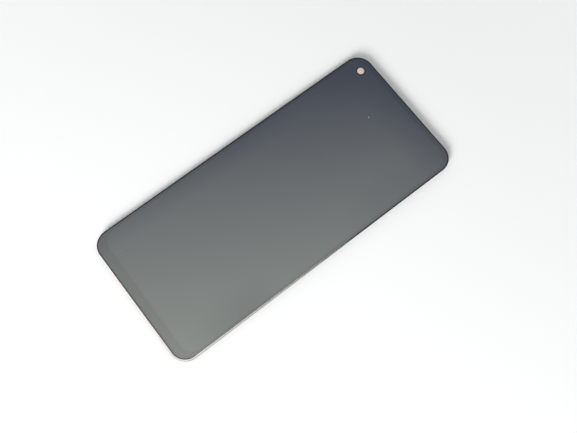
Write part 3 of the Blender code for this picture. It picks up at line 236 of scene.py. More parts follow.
class Value:
    """A shader socket; Python's operators on it add Math nodes."""

    def __init__(self, tree, socket):
        self.tree, self.socket = tree, socket

    def math(self, operation, *others, clamp=False):
        """Adds a Math node whose first input is this value."""
        settings = {"operation": operation, "use_clamp": clamp}
        return self.tree.node("ShaderNodeMath", settings, dict(enumerate((self, *others))))

    def reflected(self, operation, other):
        """Adds a Math node whose second input is this value."""
        return self.tree.node("ShaderNodeMath", {"operation": operation}, {0: other, 1: self})

    __add__ = __radd__ = partialmethod(math, "ADD")
    __sub__ = partialmethod(math, "SUBTRACT")
    __rsub__ = partialmethod(reflected, "SUBTRACT")
    __mul__ = __rmul__ = partialmethod(math, "MULTIPLY")
    __truediv__ = partialmethod(math, "DIVIDE")
    __rtruediv__ = partialmethod(reflected, "DIVIDE")
    __pow__ = partialmethod(math, "POWER")
    __abs__ = partialmethod(math, "ABSOLUTE")
    root = partialmethod(math, "SQRT")
    most = partialmethod(math, "MAXIMUM")
    least = partialmethod(math, "MINIMUM")

    def above(self, edge, softness):
        """1 where the value is above the edge and 0 below it, with a soft change between."""
        return self.math("MULTIPLY_ADD", 1 / softness, 0.5 - edge / softness, clamp=True)

    def below(self, edge, softness):
        """1 where the value is below the edge and 0 above it, with a soft change between."""
        return self.math("MULTIPLY_ADD", -1 / softness, 0.5 + edge / softness, clamp=True)

    def teeth(self, pitch):
        """0 in the middle of each step of that pitch and 0.5 at its ends."""
        return abs((self / pitch).math("FRACT") - 0.5)

    def waves(self, pitch):
        """Waves of that pitch between 0 and 1."""
        return (self * (math.tau / pitch)).math("SINE") * 0.5 + 0.5


class Tree:
    """A node tree in which each call adds one node."""

    def __init__(self, tree):
        self.tree = tree

    def node(self, kind, settings=None, inputs=None, output=0):
        """Adds a node, sets it up, feeds its inputs and returns one of its outputs."""
        node = self.tree.nodes.new(kind)
        for name, value in (settings or {}).items():
            setattr(node, name, value)
        for key, value in (inputs or {}).items():
            self.feed(node.inputs[key], value)
        return Value(self, node.outputs[output])

    def feed(self, socket, value):
        """Links a value to a socket, or sets the socket to a number or colour."""
        if isinstance(value, Value):
            self.tree.links.new(value.socket, socket)
        elif socket.type == "RGBA":
            socket.default_value = (*value[:3], 1.0)
        else:
            socket.default_value = value

    def coordinates(self):
        return self.node("ShaderNodeTexCoord", output="Object")

    def place(self):
        """x, y and z of the surface point."""
        point = self.coordinates()
        return [self.node("ShaderNodeSeparateXYZ", None, {0: point}, axis) for axis in range(3)]

    def noise(self, size, detail=2.0, stretch=(1, 1, 1)):
        """Soft random value with features of about that size."""
        scale = [share / size for share in stretch]
        point = self.node("ShaderNodeMapping", None, {"Vector": self.coordinates(), "Scale": scale})
        return self.node("ShaderNodeTexNoise", None, {"Vector": point, "Scale": 1.0, "Detail": detail})

    def cells(self, size):
        """Distance to the nearest of many scattered points, in steps of about that size."""
        inputs = {"Vector": self.coordinates(), "Scale": 1 / size}
        return self.node("ShaderNodeTexVoronoi", None, inputs, "Distance")

    def mix(self, mask, first, second):
        """The first colour where the mask is 0 and the second where it is 1."""
        return self.node("ShaderNodeMix", {"data_type": "RGBA"}, {0: mask, 6: first, 7: second}, 2)


class Finish(Tree):
    """A material under construction."""

    def __init__(self, name, **constants):
        self.material = bpy.data.materials.new(name)
        self.material.use_nodes = True
        super().__init__(self.material.node_tree)
        self.shader = self.tree.nodes["Principled BSDF"]
        self.set(**constants)

    def set(self, **inputs):
        """Feeds sockets of the shader, named in lower case with underscores."""
        for name, value in inputs.items():
            words = ("IOR" if word == "ior" else word.capitalize() for word in name.split("_"))
            self.feed(self.shader.inputs[" ".join(words)], value)

    def done(self, height, depth, **inputs):
        """Feeds the inputs and the relief of a height between 0 and 1, and gives the material."""
        bump = self.node("ShaderNodeBump", None, {"Distance": depth, "Height": height})
        self.set(normal=bump, **inputs)
        return self.material


def rounded_distance(x, y, low, high, radius):
    """Distance outside a rectangle with round corners, negative inside it."""
    across = abs(x - (low[0] + high[0]) / 2) - ((high[0] - low[0]) / 2 - radius)
    along = abs(y - (low[1] + high[1]) / 2) - ((high[1] - low[1]) / 2 - radius)
    corner = (across.most(0) ** 2 + along.most(0) ** 2).root()
    return corner + across.most(along).least(0) - radius


def from_point(x, y, point):
    """Distance in plan from a point."""
    return ((x - point[0]) ** 2 + (y - point[1]) ** 2).root()


def glass_finish(glass):
    """Black glass: ink border, switched-off picture, painted highlight and painted shade at the edge,
    camera window, faint smears and dust.
    """
    finish = Finish("cover_glass_finish", ior=1.52, specular_ior_level=0.35, coat_roughness=0.03)
    x, y, z = finish.place()
    picture_low = (GLASS_LOW.x + glass.side_border, GLASS_LOW.y + glass.chin_border)
    picture_high = (GLASS_HIGH.x - glass.side_border, GLASS_HIGH.y - glass.top_border)
    inner_radius = glass.corner_radius - glass.side_border
    picture = rounded_distance(x, y, picture_low, picture_high, inner_radius).below(0, PRINT_SOFTNESS)
    inward = 0 - rounded_distance(x, y, GLASS_LOW, GLASS_HIGH, glass.corner_radius)
    from_window = from_point(x, y, WINDOW)
    ring = from_window.below(glass.ring_diameter / 2, PRINT_SOFTNESS)
    window = from_window.below(glass.window_diameter / 2, PRINT_SOFTNESS)
    shade = (y - WINDOW.y).above(0.9 * MM, 2.6 * MM) * 0.7 + finish.noise(2.5 * MM, 3.0) * 0.3
    dust = finish.cells(7 * MM).below(0.012, 0.006) * 0.05
    for speck_x, speck_y, radius, strength in SPECKS:
        dust = dust.most(from_point(x, y, (speck_x, speck_y)).below(radius, radius) * strength)
    front = z.above(GLASS_HIGH.z - 0.05 * MM, 0.02 * MM)
    # Painted highlight: a light band along the edge, widest at the lower end and the right side
    lit_band = painted_highlight_mask(x, y, inward)
    base = finish.mix(picture, glass.ink, glass.picture)
    for mask, seen in (
        (dust * front, DUST),
        (ring, glass.ring),
        (window, finish.mix(shade, glass.window_film, glass.window_shade)),
        (lit_band, glass.rim_highlight_colour),
    ):
        base = finish.mix(mask, base, seen)
    # Painted shade: the outer edge past the highlight band, and a line inside it at the lower end, are made
    # dark and dull: metallic over the black ink, rougher and without coat
    rim = (inward.below(0.7 * MM, 0.3 * MM) * (1 - lit_band)).most(chin_shade_line(x, y, inward))
    smear = finish.noise(16 * MM, 4.0, (1, 0.45, 1)).above(0.58, 0.3)
    fine = finish.noise(0.5 * MM, 2.0)
    mark = from_point(x, y, SMUDGE).below(SMUDGE[2], 0.4 * MM)
    return finish.done(
        finish.noise(30 * MM, 1.0),
        0.006 * MM,
        base_color=base,
        metallic=rim * 0.9,
        roughness=0.035 + smear * 0.05 + dust * 0.5 + fine * 0.01 + rim * 0.2,
        coat_weight=(picture * 0.1 + 0.3) * (1 - ring) * (1 - mark * 0.6) * (1 - rim),
    )


def highlight_bounds(x, y):
    """Where the band with the painted highlight starts, in from the edge, and its width; it widens towards
    the lower end and the right side, where the painted highlight stands in for light catching the rounded
    edge.
    """
    return x * 0.0042 + y * 0.0025 + 0.2 * MM, x * 0.0028 - y * 0.005


def painted_highlight_mask(x, y, inward):
    """The band by the edge that carries the painted highlight."""
    outer, width = highlight_bounds(x, y)
    inside = inward.above(outer, HIGHLIGHT_SOFTNESS) * inward.below(outer + width, HIGHLIGHT_SOFTNESS)
    return inside * width.above(0.04 * MM, 0.08 * MM)


def chin_shade_line(x, y, inward):
    """Painted shade: a dull dark line along the inside of the highlight band at the lower end."""
    outer, width = highlight_bounds(x, y)
    inner = outer + width
    line = inward.above(inner, HIGHLIGHT_SOFTNESS) * inward.below(inner + 0.55 * MM, 0.2 * MM)
    return line * y.below(GLASS_LOW.y + 7 * MM, 4 * MM)


def grained_finish(name, colours, grain, roughness, metallic=0.0):
    """A plain finish with its grain: two colours, grain size, range of roughness and metallic value."""
    finish = Finish(name, metallic=metallic)
    fine = finish.noise(grain, 3.0)
    mottle = fine * 0.6 + finish.noise(grain * 40, 2.0) * 0.4
    low, high = roughness
    base = finish.mix(mottle.above(0.5, 0.5), *colours)
    return finish.done(fine, 0.002 * MM, base_color=base, roughness=mottle * (high - low) + low)


def shades(colour_of, spread=0.12):
    """A darker and a lighter shade of a colour."""
    return tuple(c * (1 - spread) for c in colour_of), tuple(min(1.0, c * (1 + spread)) for c in colour_of)


def steel_finish(name, steel, along=1):
    """Rolled steel: fine and broad lines along one axis, faint stains, scuffs and finger marks."""
    finish = Finish(name, metallic=1.0)
    stretch = [1, 1, 1]
    stretch[along] = 0.012
    lines = finish.noise(0.06 * MM, 3.0, stretch)
    bands = finish.noise(0.7 * MM, 4.0, stretch)
    stain = finish.noise(16 * MM, 5.0).above(0.58, 0.3)
    scuff = finish.noise(1.1 * MM, 5.0, (0.16, 1, 1)).above(0.68, 0.1)
    touch = finish.noise(7 * MM, 3.0, (1, 0.7, 1)).above(0.63, 0.14)
    dark, light = shades(steel, 0.22)
    base = finish.mix((lines * 0.45 + bands * 0.55).above(0.5, 0.34), dark, light)
    base = finish.mix(stain * 0.5, base, [c * 0.66 for c in steel])
    base = finish.mix(scuff * 0.25, base, [min(1.0, c * 1.35) for c in steel])
    rough = 0.2 + lines * 0.12 + stain * 0.12 + touch * 0.12 + scuff * 0.1
    height = lines * 0.5 + bands * 0.5 + scuff * 0.3
    return finish.done(height, 0.004 * MM, base_color=base, roughness=rough)


def circuit_finish(circuit):
    """Amber film over copper: tracks in the tail and at the fold, a hatched ground elsewhere."""
    finish = Finish("circuit_finish", coat_weight=0.35, coat_roughness=0.25)
    x, y, _ = finish.place()
    across = x + y.above(JOG_START + JOG_LENGTH / 2, JOG_LENGTH) * TAIL_JOG
    in_tail = y.above(BODY_TOP + 0.5 * MM, 0.2 * MM) * y.below(CONNECTOR.y - 3 * MM, 0.2 * MM)
    inside_tail = abs(across - TAIL_X).below(TAIL_HALF, 0.05 * MM)
    at_fold = y.below(TRAY_LOW.y + 1.4 * MM, 0.1 * MM)
    inside_sides = abs(x).below(CIRCUIT_HALF - 0.9 * MM, 0.05 * MM)
    inside_body = inside_sides * y.below(BODY_TOP - 0.35 * MM, 0.05 * MM)
    track = across.teeth(circuit.track_pitch).below(0.27, 0.08)
    fine = x.teeth(circuit.fine_pitch).below(0.26, 0.1)
    hatch = (x + y).teeth(HATCH_PITCH).most((x - y).teeth(HATCH_PITCH)).above(0.3, 0.1)
    ground = at_fold * fine + (1 - at_fold) * hatch
    copper = in_tail * inside_tail * track + (1 - in_tail) * inside_body * ground
    cloud = finish.noise(3 * MM, 3.0)
    base = finish.mix(copper, circuit.film, circuit.copper)
    base = finish.mix(cloud.above(0.6, 0.5) * 0.25, base, (0.2, 0.09, 0.03))
    rough = 0.34 + finish.noise(0.3 * MM) * 0.14
    height = copper + cloud * 0.15
    return finish.done(height, 0.008 * MM, base_color=base, metallic=copper * 0.35, roughness=rough)


def cloth_finish(circuit):
    """Metal-coated cloth: a plain weave in relief."""
    finish = Finish("ground_tape_finish", metallic=0.85)
    x, y, _ = finish.place()
    warp, weft = x.waves(WEAVE_PITCH), y.waves(WEAVE_PITCH)
    weave = (warp * (1 - weft) + weft * (1 - warp)) * 0.85 + finish.noise(0.08 * MM) * 0.15
    base = finish.mix(weave, *shades(circuit.cloth, 0.35))
    return finish.done(weave, 0.02 * MM, base_color=base, roughness=0.52 - weave * 0.16)


def cover_tape_finish():
    """Black film with soft creases, fine grain and places rubbed a little paler."""
    finish = Finish("cover_tape_finish", coat_weight=0.15, coat_roughness=0.35)
    crease = finish.noise(5 * MM, 2.0, (0.5, 1.6, 1))
    grain = finish.noise(0.15 * MM, 3.0)
    rubbed = finish.noise(2.2 * MM, 4.0).above(0.6, 0.14)
    base = finish.mix(grain * 0.6 + rubbed * 0.4, (0.014, 0.014, 0.015), (0.036, 0.036, 0.038))
    rough = 0.4 + grain * 0.12 + rubbed * 0.14
    return finish.done(crease * 0.85 + grain * 0.15, 0.06 * MM, base_color=base, roughness=rough)


def led_finish():
    """White packages with yellow phosphor in the cups."""
    low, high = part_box("led_07")
    finish = Finish("led_finish")
    x, y, z = finish.place()
    offset = (x + LED_PITCH / 2).teeth(LED_PITCH) * LED_PITCH
    cup = offset.below(1.43 * MM, 0.01 * MM) * abs(z - (low.z + high.z) / 2).below(0.12 * MM, 0.01 * MM)
    cup = cup * y.above(high.y - 0.2 * MM, 0.01 * MM) * y.below(high.y - 0.02 * MM, 0.01 * MM)
    grain = finish.noise(0.04 * MM)
    package = finish.mix(grain, (0.8, 0.8, 0.77), (0.88, 0.88, 0.85))
    base = finish.mix(cup, package, (0.86, 0.66, 0.1))
    return finish.done(grain, 0.003 * MM, base_color=base, roughness=0.35 + grain * 0.2)


def only(*pieces):
    """Makes pieces the ones that operators act on, the first of them active."""
    bpy.ops.object.select_all(action="DESELECT")
    for piece in pieces:
        piece.select_set(True)
    bpy.context.view_layer.objects.active = pieces[0]


def named(name):
    """Names the object just added and puts its place and size into its mesh."""
    piece = bpy.context.object
    piece.name = piece.data.name = name
    bpy.ops.object.transform_apply()
    return piece


def block(name, corner, opposite):
    """Starts a piece as a block between two opposite corners."""
    low, high = (Vector([end(pair) for pair in zip(corner, opposite)]) for end in (min, max))
    bpy.ops.mesh.primitive_cube_add(size=1.0, location=(low + high) / 2, scale=high - low)
    return named(name)


def disc(name, centre, diameter, height, sides=48):
    """Starts a piece as a short cylinder."""
    bpy.ops.mesh.primitive_cylinder_add(vertices=sides, radius=diameter / 2, depth=height, location=centre)
    return named(name)


@contextmanager
def editing(piece):
    """Edit mode on one piece."""
    only(piece)
    bpy.ops.object.mode_set(mode="EDIT")
    yield
    bpy.ops.object.mode_set(mode="OBJECT")


def pick(kind, test):
    """Selects the edges or faces of the edited piece that pass a test, and nothing else."""
    bpy.ops.mesh.select_mode(type=kind)
    bpy.ops.mesh.select_all(action="DESELECT")
    piece = bpy.context.object
    shape = bmesh.from_edit_mesh(piece.data)
    found = [item for item in (shape.edges if kind == "EDGE" else shape.faces) if test(item)]
    if not found:
        raise RuntimeError(f"nothing to pick on {piece.name}")
    for item in found:
        item.select_set(True)
    bmesh.update_edit_mesh(piece.data)


def wholly(test):
    """Test for an edge or face, all of whose corners have to pass a test on their place."""
    return lambda item: all(test(vert.co) for vert in item.verts)


def at_height(height):
    """Test for an edge or face that lies at a height."""
    return wholly(lambda point: abs(point.z - height) < TINY)


def upright(edge):
    """Test for an edge that runs along z."""
    first, second = edge.verts
    return (first.co - second.co).xy.length < TINY


def bevel(radius, steps):
    """Rounds off the edges that are picked."""
    bpy.ops.mesh.bevel(offset=radius, segments=steps)


def modify(piece, kind, **settings):
    """Adds a modifier and applies it."""
    only(piece)
    bpy.ops.object.modifier_add(type=kind)
    step = piece.modifiers[-1]
    for name, value in settings.items():
        setattr(step, name, value)
    bpy.ops.object.modifier_apply(modifier=step.name)


def soften(piece, width, angle=40):
    """Rounds off every edge of a piece that is sharper than an angle."""
    limit = {"limit_method": "ANGLE", "angle_limit": math.radians(angle)}
    modify(piece, "BEVEL", width=width, segments=2, **limit)


def joined(name, pieces):
    """Joins pieces into one."""
    only(*pieces)
    bpy.ops.object.join()
    return named(name)


def cut(piece, cutters):
    """Takes the space of each cutter out of a piece, whose outer size stays as it is."""
    size = piece.dimensions.copy()
    for cutter in cutters:
        modify(piece, "BOOLEAN", operation="DIFFERENCE", object=cutter, solver="EXACT")
        bpy.data.objects.remove(cutter)
    bpy.context.view_layer.update()
    if (piece.dimensions - size).length > TINY:
        raise RuntimeError(f"the cuts went wrong on {piece.name}")


def copied(piece, name, shift=(0, 0, 0)):
    """A copy with its own mesh, moved by a shift."""
    mesh = piece.data.copy()
    mesh.transform(Matrix.Translation(shift))
    copy = bpy.data.objects.new(name, mesh)
    bpy.context.collection.objects.link(copy)
    return copy


def strip(name, width, thickness, path):
    """A strip along a path (y, z), its width along x: a plane grown edge by edge and thickened."""
    (start_y, start_z), (next_y, next_z) = path[:2]
    run = math.hypot(next_y - start_y, next_z - start_z)
    turn = math.atan2(next_z - start_z, next_y - start_y)
    middle = (0, (start_y + next_y) / 2, (start_z + next_z) / 2)
    bpy.ops.mesh.primitive_plane_add(size=1.0, location=middle, rotation=(turn, 0, 0))
    bpy.context.object.scale = (width, run, 1)
    piece = named(name)
    leading = Vector((0, next_y, next_z))
    with editing(piece):
        pick("EDGE", wholly(lambda point: (point - leading).yz.length < TINY))
        for here, ahead in zip(path[1:], path[2:]):
            shift = (0, ahead[0] - here[0], ahead[1] - here[1])
            bpy.ops.mesh.extrude_region_move(TRANSFORM_OT_translate={"value": shift})
    modify(piece, "SOLIDIFY", thickness=thickness, offset=0.0, use_even_offset=True)
    return piece


def settle(piece, materials, replaced=()):
    """Finishes a piece: materials, smooth shading, the body that it rides on and what it stands for."""
    for material in materials:
        piece.data.materials.append(material)
    only(piece)
    bpy.ops.object.shade_smooth_by_angle(angle=SMOOTH_ANGLE)
    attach(piece, "root")
    if replaced:
        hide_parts(*replaced)


def dress(material, *nodes):
    """Gives CAD nodes that keep their shape their material."""
    for node in nodes:
        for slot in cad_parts[node].material_slots:
            slot.material = material


def finer(node, name, slot, material=None, rounding=0.0):
    """Replaces a CAD node by a copy, its triangles welded, its flat faces joined and its edges softened."""
    piece = copied(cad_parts[node], name)
    piece.data.materials.clear()
    with editing(piece):
        bpy.ops.mesh.select_all(action="SELECT")
        bpy.ops.mesh.customdata_custom_splitnormals_clear()
        bpy.ops.mesh.remove_doubles(threshold=0.1 * TINY)
        bpy.ops.mesh.dissolve_limited(angle_limit=math.radians(0.5))
    if rounding:
        soften(piece, rounding)
    settle(piece, [material or plain(slot)], [node])


def plain(name):
    """The material of that name in the table, made when it is first asked for."""
    title = f"{name}_finish"
    if title not in bpy.data.materials:
        grained_finish(title, *MATERIAL_TABLE[name])
    return bpy.data.materials[title]


class LCD_OT_cover_glass(bpy.types.Operator):
    """Model the front glass with its round corners, rounded front edge and flat rim behind"""

    bl_idname = "lcd.cover_glass"
    bl_label = "Cover glass"

    def execute(self, context):
        glass = context.scene.lcd_glass
        wall_top = GLASS_HIGH.z - glass.edge_depth
        flat_rim = 0.1 * MM
        piece = block("front_glass", GLASS_LOW, (GLASS_HIGH.x, GLASS_HIGH.y, wall_top))
        with editing(piece):
            pick("EDGE", upright)
            bevel(glass.corner_radius, glass.corner_steps)
            pick("EDGE", at_height(GLASS_LOW.z))
            bevel(glass.back_chamfer, 2)
            pick("FACE", at_height(GLASS_LOW.z))
            bpy.ops.mesh.inset(thickness=flat_rim)
            pick("FACE", at_height(wall_top))
            for step in range(glass.edge_steps):
                start, end = (math.pi / 2 * index / glass.edge_steps for index in (step, step + 1))
                in_by = glass.edge_width * (math.cos(start) - math.cos(end))
                up_by = glass.edge_depth * (math.sin(end) - math.sin(start))
                bpy.ops.mesh.inset(thickness=in_by, depth=up_by)
            bpy.ops.mesh.inset(thickness=flat_rim)
        settle(piece, [glass_finish(glass)], ["cover_glass"])
        return {"FINISHED"}


class LCD_OT_camera_window(bpy.types.Operator):
    """Finish the film in the camera window, the sleeve that lines the hole and its soft ring"""

    bl_idname = "lcd.camera_window"
    bl_label = "Camera window"

    def execute(self, context):
        glass = context.scene.lcd_glass
        colours = (glass.window_shade, glass.window_film)
        dress(grained_finish("window_film_finish", colours, 0.3 * MM, (0.4, 0.6)), "window_film")
        dress(plain("black_tape"), "hole_gasket")
        finer("camera_sleeve", "hole_sleeve", "black_moulding", rounding=0.03 * MM)
        return {"FINISHED"}


class LCD_OT_display_cell(bpy.types.Operator):
    """Finish the layers of the cell: adhesive, polarisers, panes, driver and sealant"""

    bl_idname = "lcd.display_cell"
    bl_label = "Display cell"

    def execute(self, context):
        dress(plain("clear_sheet"), "optical_adhesive")
        dress(plain("polariser"), "upper_polariser", "lower_polariser")
        dress(plain("cell_glass"), "colour_filter_glass", "tft_glass")
        dress(plain("silicon"), "driver_chip")
        dress(plain("sealant"), "ledge_sealant")
        return {"FINISHED"}


class LCD_OT_backlight(bpy.types.Operator):
    """Finish the backlight: moulded frame, light guide, films, tape, LEDs and their strip"""

    bl_idname = "lcd.backlight"
    bl_label = "Backlight"

    def execute(self, context):
        circuit = context.scene.lcd_circuit
        finer("backlight_frame", "moulded_frame", "white_moulding")
        dress(plain("acrylic"), "light_guide")
        dress(plain("reflector"), "reflector_film")
        dress(plain("diffusing_film"), "diffuser_film", "lower_prism_film", "upper_prism_film")
        dress(plain("black_tape"), "rim_tape")
        leds = [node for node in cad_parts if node.startswith("led_") and node != "led_strip"]
        dress(led_finish(), *leds)
        amber = grained_finish("led_circuit_finish", (circuit.film, circuit.copper), 0.25 * MM, (0.35, 0.5))
        finer("led_strip", "led_circuit", "amber_flex", amber)
        return {"FINISHED"}


class LCD_OT_back_tray(bpy.types.Operator):
    """Model the pressed steel tray with its walls, reliefs, latch windows and holes"""

    bl_idname = "lcd.back_tray"
    bl_label = "Back tray"

    def execute(self, context):
        sizes = context.scene.lcd_tray
        tray = block("steel_tray", TRAY_LOW, TRAY_HIGH)
        with editing(tray):
            pick("EDGE", upright)
            bevel(sizes.corner_radius, sizes.corner_steps)
            pick("EDGE", at_height(TRAY_LOW.z))
            bevel(sizes.bend_radius, 4)
        cut(tray, [tray_well(sizes), *tray_openings(sizes)])
        soften(tray, 0.015 * MM, angle=50)
        with editing(tray):
            pick("FACE", at_height(TRAY_LOW.z))
            bpy.ops.mesh.inset(thickness=0.05 * MM)
        settle(tray, [steel_finish("tray_finish", sizes.steel)], ["back_plate"])
        return {"FINISHED"}


def tray_well(sizes):
    """The space between the walls, above the floor of sheet."""
    wall = Vector([sizes.sheet] * 3)
    well = block("well", TRAY_LOW + wall, (*(TRAY_HIGH - wall).xy, TRAY_HIGH.z + PAST))
    with editing(well):
        pick("EDGE", upright)
        bevel(sizes.corner_radius - sizes.sheet, sizes.corner_steps)
    return well


def tray_openings(sizes):
    """Blocks and discs where the tray is open."""
    floor_top, top = TRAY_LOW.z + sizes.sheet, TRAY_HIGH.z + PAST
    relief = sizes.corner_radius + sizes.corner_relief
    through_wall = sizes.sheet + 0.025 * MM
    latch_z = sum(corner.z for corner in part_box("backlight_frame")) / 2
    latch_half = Vector((0, sizes.latch_length / 2, sizes.latch_height / 2))
    found = []
    for x, inward_x in ((TRAY_LOW.x, 1), (TRAY_HIGH.x, -1)):
        outside_x = x - inward_x * PAST
        for y, inward_y in ((TRAY_LOW.y, 1), (TRAY_HIGH.y, -1)):
            inside = (x + inward_x * relief, y + inward_y * relief, top)
            found.append(block("relief", (outside_x, y - inward_y * PAST, floor_top), inside))
        for y in LATCH_PLACES:
            outside = Vector((outside_x, y, latch_z))
            inside = Vector((x + inward_x * through_wall, y, latch_z))
            found.append(block("latch", outside - latch_half, inside + latch_half))
    slot_low = (STRIP_TAB[0] - 0.05 * MM, TRAY_LOW.y - PAST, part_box("light_guide")[1].z)
    found.append(block("tab_slot", slot_low, (STRIP_TAB[1] + 0.05 * MM, CHIN_POCKET, top)))
    found.append(disc("camera_hole", (WINDOW.x, WINDOW.y, TRAY_LOW.z), sizes.camera_hole, PAST))
    for x, y in GAUGE_HOLES:
        found.append(disc("gauge_hole", (x, y, TRAY_LOW.z), sizes.gauge_hole, PAST, 32))
    return found


class LCD_OT_circuit(bpy.types.Operator):
    """Finish the folded circuit, its test pads, adhesive tapes, stiffener and ground tapes"""

    bl_idname = "lcd.circuit"
    bl_label = "Circuit and tapes"

    def execute(self, context):
        circuit = context.scene.lcd_circuit
        finer("main_flex", "folded_circuit", "amber_flex", circuit_finish(circuit))
        make_pads(circuit)
        dress(plain("black_tape"), "flex_tape", "tail_tape")
        dress(cover_tape_finish(), "fold_cover_tape")
        dress(steel_finish("stiffener_finish", (0.6, 0.6, 0.6), 0), "connector_stiffener")
        make_ground_tapes(circuit)
        return {"FINISHED"}


def make_pads(circuit):
    """Two rows of gilt pads on the ear and a row on the body, each a low disc."""
    height = 0.01 * MM
    grid = [(column, row) for column in range(4) for row in range(2)]
    places = [(EAR_PAD[0] + column * 1.35 * MM, EAR_PAD[1] + row * 1.6 * MM) for column, row in grid]
    places += [(BODY_PAD[0] + column * 1.5 * MM, BODY_PAD[1]) for column in range(3)]
    first = disc("test_pad", (0, 0, CIRCUIT_FACE - height / 2), circuit.pad_diameter, height, 28)
    with editing(first):
        pick("EDGE", at_height(CIRCUIT_FACE - height))
        bevel(height / 2, 2)
    pads = [copied(first, "test_pad", (x, y, 0)) for x, y in places]
    bpy.data.objects.remove(first)
    gilt = grained_finish("gilt_finish", shades(circuit.gilt), 0.1 * MM, (0.22, 0.36), 1.0)
    settle(joined("test_pads", pads), [gilt])


def make_ground_tapes(circuit):
    """The two cloth tapes, each bent from the circuit up to the tray."""
    clearance, thickness = 0.04 * MM, 0.045 * MM
    on_circuit, on_tray = (-3.6 * MM, -1.2 * MM), (2 * MM, 4.05 * MM)
    slope_start, slope_length, slope_steps = 0.1 * MM, 0.35 * MM, 8
    tray_low, circuit_low = TRAY_LOW.z - clearance, CIRCUIT_FACE - clearance
    path = [(y, circuit_low) for y in on_circuit]
    for step in range(slope_steps + 1):
        share = step / slope_steps
        eased = share * share * (3 - 2 * share)
        path.append((slope_start + slope_length * share, circuit_low + (tray_low - circuit_low) * eased))
    path += [(y, tray_low) for y in on_tray]
    finish = cloth_finish(circuit)
    for node, foot, turn in (
        ("ground_tape_upper", (CIRCUIT_HALF - 3 * MM, BODY_TOP, 0), 0.0),
        ("ground_tape_left", (-CIRCUIT_HALF, TRAY_LOW.y + 6 * MM, 0), math.pi / 2),
    ):
        tape = strip(f"{node}_cloth", circuit.ground_tape_width, thickness, path)
        tape.data.transform(Matrix.Translation(foot) @ Matrix.Rotation(turn, 4, "Z"))
        settle(tape, [finish], [node])


class LCD_OT_connector(bpy.types.Operator):
    """Model the board connector: moulding with its well, two rows of contacts and the end clips"""

    bl_idname = "lcd.connector"
    bl_label = "Board connector"

    def execute(self, context):
        sizes = context.scene.lcd_connector
        half = Vector((sizes.body_length / 2, sizes.body_width / 2, 0))
        centre = Vector((CONNECTOR.x, CONNECTOR.y, 0))
        body = block("connector_body", centre - half, centre + half + Vector((0, 0, sizes.body_height)))
        with editing(body):
            pick("FACE", at_height(0.0))
            bpy.ops.mesh.inset(thickness=sizes.side_wall)
            well = sizes.body_length - 2 * sizes.side_wall
            share = (sizes.body_length - 2 * sizes.end_wall) / well
            bpy.ops.transform.resize(value=(share, 1, 1), center_override=centre)
            bpy.ops.mesh.extrude_region_move(TRANSFORM_OT_translate={"value": (0, 0, sizes.well_depth)})
        soften(body, 0.04 * MM)
        moulding = grained_finish("moulding_finish", shades(sizes.moulding, 0.3), 0.08 * MM, (0.4, 0.6))
        settle(body, [moulding], ["board_connector"])
        make_contacts(sizes, centre, context.scene.lcd_circuit)
        for side in ("left", "right"):
            clip = f"connector_clip_{side}"
            finer(clip, f"end_clip_{side}", "steel", plain("bright_steel"), 0.025 * MM)
        return {"FINISHED"}


def make_contacts(sizes, centre, circuit):
    """Contacts bent over both long walls, each ending in its foot on the circuit."""
    half_sheet = sizes.contact_sheet / 2
    inner = sizes.body_width / 2 - sizes.side_wall - half_sheet
    outer = sizes.body_width / 2 + half_sheet
    rim = 0.07 * MM + half_sheet
    foot_z = sizes.body_height - half_sheet
    well_end = (inner, sizes.well_depth - 0.02 * MM)
    path = [well_end, (inner, rim), (outer, rim), (outer, foot_z), (outer + 0.31 * MM, foot_z)]
    contact = strip("contact", sizes.contact_width, sizes.contact_sheet, path)
    soften(contact, 0.02 * MM)
    rows = []
    for turn in (0.0, math.pi):
        for index in range(sizes.contacts):
            x = (index - (sizes.contacts - 1) / 2) * sizes.pitch
            copy = copied(contact, "contact", (x, 0, 0))
            copy.data.transform(Matrix.Translation(centre) @ Matrix.Rotation(turn, 4, "Z"))
            rows.append(copy)
    bpy.data.objects.remove(contact)
    gilt = grained_finish("contact_finish", shades(circuit.gilt), 0.05 * MM, (0.18, 0.32), 1.0)
    settle(joined("connector_contacts", rows), [gilt])


class LCD_OT_small_parts(bpy.types.Operator):
    """Model the capacitors, the memory chip and the diode with their tinned ends and solder"""

    bl_idname = "lcd.small_parts"
    bl_label = "Small parts"

    def execute(self, context):
        sizes = context.scene.lcd_parts
        ceramic = grained_finish("ceramic_finish", shades(sizes.ceramic, 0.2), 0.05 * MM, (0.35, 0.5))
        tin = grained_finish("tin_finish", shades(sizes.tin), 0.06 * MM, (0.25, 0.42), 1.0)
        epoxy = grained_finish("epoxy_finish", shades(sizes.epoxy, 0.35), 0.05 * MM, (0.5, 0.68))
        for node in CAPACITORS:
            settle(capacitor(node, sizes), [ceramic, tin], [node])
        for node in ("memory_chip", "diode"):
            finer(node, f"{node}_package", "package_black", epoxy, 0.04 * MM)
        solder = [fillet for node in CAPACITORS for fillet in fillets(node, sizes)]
        settle(joined("solder_fillets", solder), [tin])
        return {"FINISHED"}


def capacitor(node, sizes):
    """A ceramic block whose two ends are cut off and swelled into terminals."""
    low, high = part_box(node)
    inner_low, inner_high = low.y + sizes.terminal, high.y - sizes.terminal
    shrink = Vector((sizes.step, 0, sizes.step))

    def at_end(point):
        return not inner_low < point.y < inner_high

    piece = block(f"{node}_body", low + shrink, high - shrink)
    with editing(piece):
        for y in (inner_low, inner_high):
            bpy.ops.mesh.select_all(action="SELECT")
            bpy.ops.mesh.bisect(plane_co=(0, y, 0), plane_no=(0, 1, 0))
        pick("FACE", lambda face: at_end(face.calc_center_median()) and abs(face.normal.y) < 0.5)
        bpy.ops.mesh.extrude_region_shrink_fatten(TRANSFORM_OT_shrink_fatten={"value": sizes.step})
    soften(piece, 0.02 * MM)
    for face in piece.data.polygons:
        face.material_index = int(at_end(face.center))
    return piece


